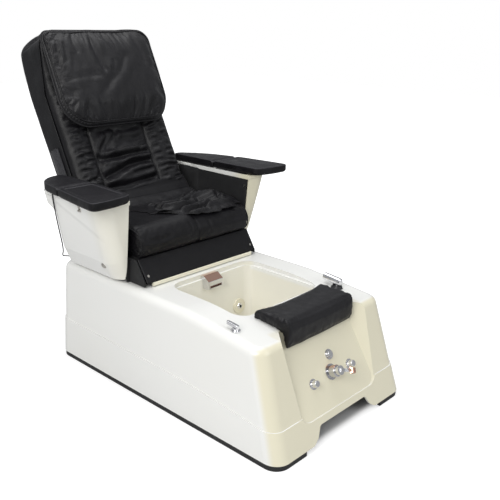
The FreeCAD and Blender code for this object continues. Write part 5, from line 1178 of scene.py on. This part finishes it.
def make_footrest():
    def held(points):
        return ((points[:, 2] < 405) & (points[:, 1] > -462)) * 1.0

    def loosened(points):
        return np.clip((points[:, 2] - 342) / 14, 0, 1)
    form = loft(closed_line(REST_LINE, 130), 186.5, 5.0, 5.0, cap=0.6)
    points, normals, faces = inflate(*form, 3.5, 4.5, held, loosened, 0.015)
    x, y, z = points.T                   # z follows the two dips below
    share = np.clip(np.abs(x) / 187, 0, 1)
    points[:, 2] -= 10.5 * np.clip((z - 400) / 34, 0, 1) * (1 - share ** 2.2)
    points[:, 2] -= 4.0 * np.clip((400 - z) / 50, 0, 1) * (y < -444) * (1 - share ** 2)
    loose = 0.9 * field(points, (60, 40, 40), 81) + 0.35 * field(points, (20, 18, 18), 82)
    seam = -1.3 * bell(z - (426 - 10 * (1 - share ** 2)), 2.2) * (y < -469)
    corner = 1.1 * field(points, (14, 14, 14), 83) * bell(np.abs(x) - 182, 12)
    free = (z > 404) | (y < -466)
    points = points + normals * ((loose + seam + corner) * free * 0.9)[:, None]
    make_piece("footrest_leather", place(points), faces, "black_leather", "footrest",
               ("footrest_cushion",))


# --- Armrests -----------------------------------------------------------------------------
def slab(outline, low, high, border, seed):
    """A padded slab: bullnose edge, raised border with a sewn groove, gently crowned middle."""
    edge, nose, crown = 9.0, 4.5, 2.0
    centre = (outline.max(0) + outline.min(0)) / 2
    half = (outline.max(0) - outline.min(0)) / 2
    turns = np.linspace(0, 1, 6) * math.pi / 2
    rings = [(half.min() * share, low, 0.0) for share in (0.92, 0.7, 0.45, 0.2)]
    rings.append((6, low, 0.0))
    rings += [(edge * (1 - math.sin(a)) + 0.2, low + edge * (1 - math.cos(a)), 0.3)
              for a in turns]
    rings.append((0.2, (low + high) / 2, 0.6))
    rings += [(nose * (1 - math.cos(a)) + 0.2, high - nose * (1 - math.sin(a)), 0.3)
              for a in turns]
    start, base = edge + 6, high
    if border:
        rings += [(edge + border + inset, high + z, 1.0) for inset, z in (
            (-5, 0.2), (-3, -0.2), (-1.2, -1.8), (0, -2.4), (1.2, -2.0), (3, -1.2), (7, -0.8))]
        start, base = edge + border + 12, high - 0.8
    rings += [(start + (half.min() - start) * share, base + crown * (1 - (1 - share) ** 2), 1.0)
              for share in np.linspace(0, 0.97, 12)]
    points = np.array([stacked(*(centre + (outline - centre) * (1 - inset / half)).T, z)
                       for inset, z, _ in rings])
    marks = np.array([mark for _, _, mark in rings])[:, None]
    points[..., 2] += marks * (0.45 * field(points, (45, 45, 30), seed)
                               + 0.2 * field(points, (16, 16, 16), seed + 1))
    return points.reshape(-1, 3), capped(*points.shape[:2])


def make_arms():
    lid = resample([(337, 160), (430, 139), (523, 137), (506, 276), (484, 412), (325, 412)],
                   (30, 40, 30, 60, 8, 8), 170)
    rear_ends = {1: ([(440, 560), (352, 676), (318, 676)], (60, 20, 14)),
                 -1: ([(462, 556), (398, 610), (334, 620)], (50, 30, 22))}
    for side, tag in ((1, "right"), (-1, "left")):
        corners, radii = rear_ends[side]
        pad = resample([(325, 420), (481.5, 420), *corners], (8, 8, *radii), 150)
        mirror = np.array((side, 1, 1))
        points, faces = slab(lid, 755.6, 787.5, 13.0, 90 + side)
        make_piece(f"{tag}_arm_lid_leather", place(points * mirror), faces, "arm_leather",
                   f"{tag}_lid", (f"{tag}_arm_lid",))
        points, faces = slab(pad, 753.4, 787.0, None, 95 + side)
        falls = smoothstep(np.clip((438 - points[:, 1]) / 16, 0, 1))
        points[:, 2] -= 6.0 * falls * (points[:, 2] > 772)      # room for the lid to open
        obj = make_piece(f"{tag}_arm_pad_leather", place(points * mirror), faces,
                         "arm_leather", "chair")
        if side > 0:
            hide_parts("arm_pads")


def plate(outline, near, far, name, material):
    """A flat piece standing lengthwise, with softened edges, between two values of x."""
    middle = outline.mean(0)
    rows = [stacked(x, *(middle + (outline - middle) * (1 - inset / 60)).T)
            for inset, x in ((30, near), (1.0, near), (0.2, near + 0.8), (0.2, far - 0.8),
                             (1.0, far), (30, far))]
    make_piece(name, place(np.vstack(rows)), capped(len(rows), len(outline)), material, "chair")


def make_arm_tail():
    """Behind the right lining the photograph shows its black board and cream edge going on."""
    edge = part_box("inner_linings")[1][0] * 1000
    board = resample([(505, 600), (560, 545), (655, 600), (672, 640), (672, 741), (505, 741)],
                     (10, 10, 30, 20, 4, 4), 110)
    plate(board, edge - 6.4, edge - 1.2, "right_lining_tail", "dark_board")
    strip = resample([(560, 742), (674, 742), (674, 753), (560, 753)], (2, 4, 4, 2), 60)
    plate(strip, edge - 6.0, edge + 9.0, "right_cap_tail", "panel")


make_camera()
make_studio()
make_materials()
dress_frame()
make_lead()
make_pillow()
make_back_pad()
make_pocket()
make_back_shell()
make_seat_cushion()
make_mat()
make_apron()
make_footrest()
make_arms()
make_arm_tail()
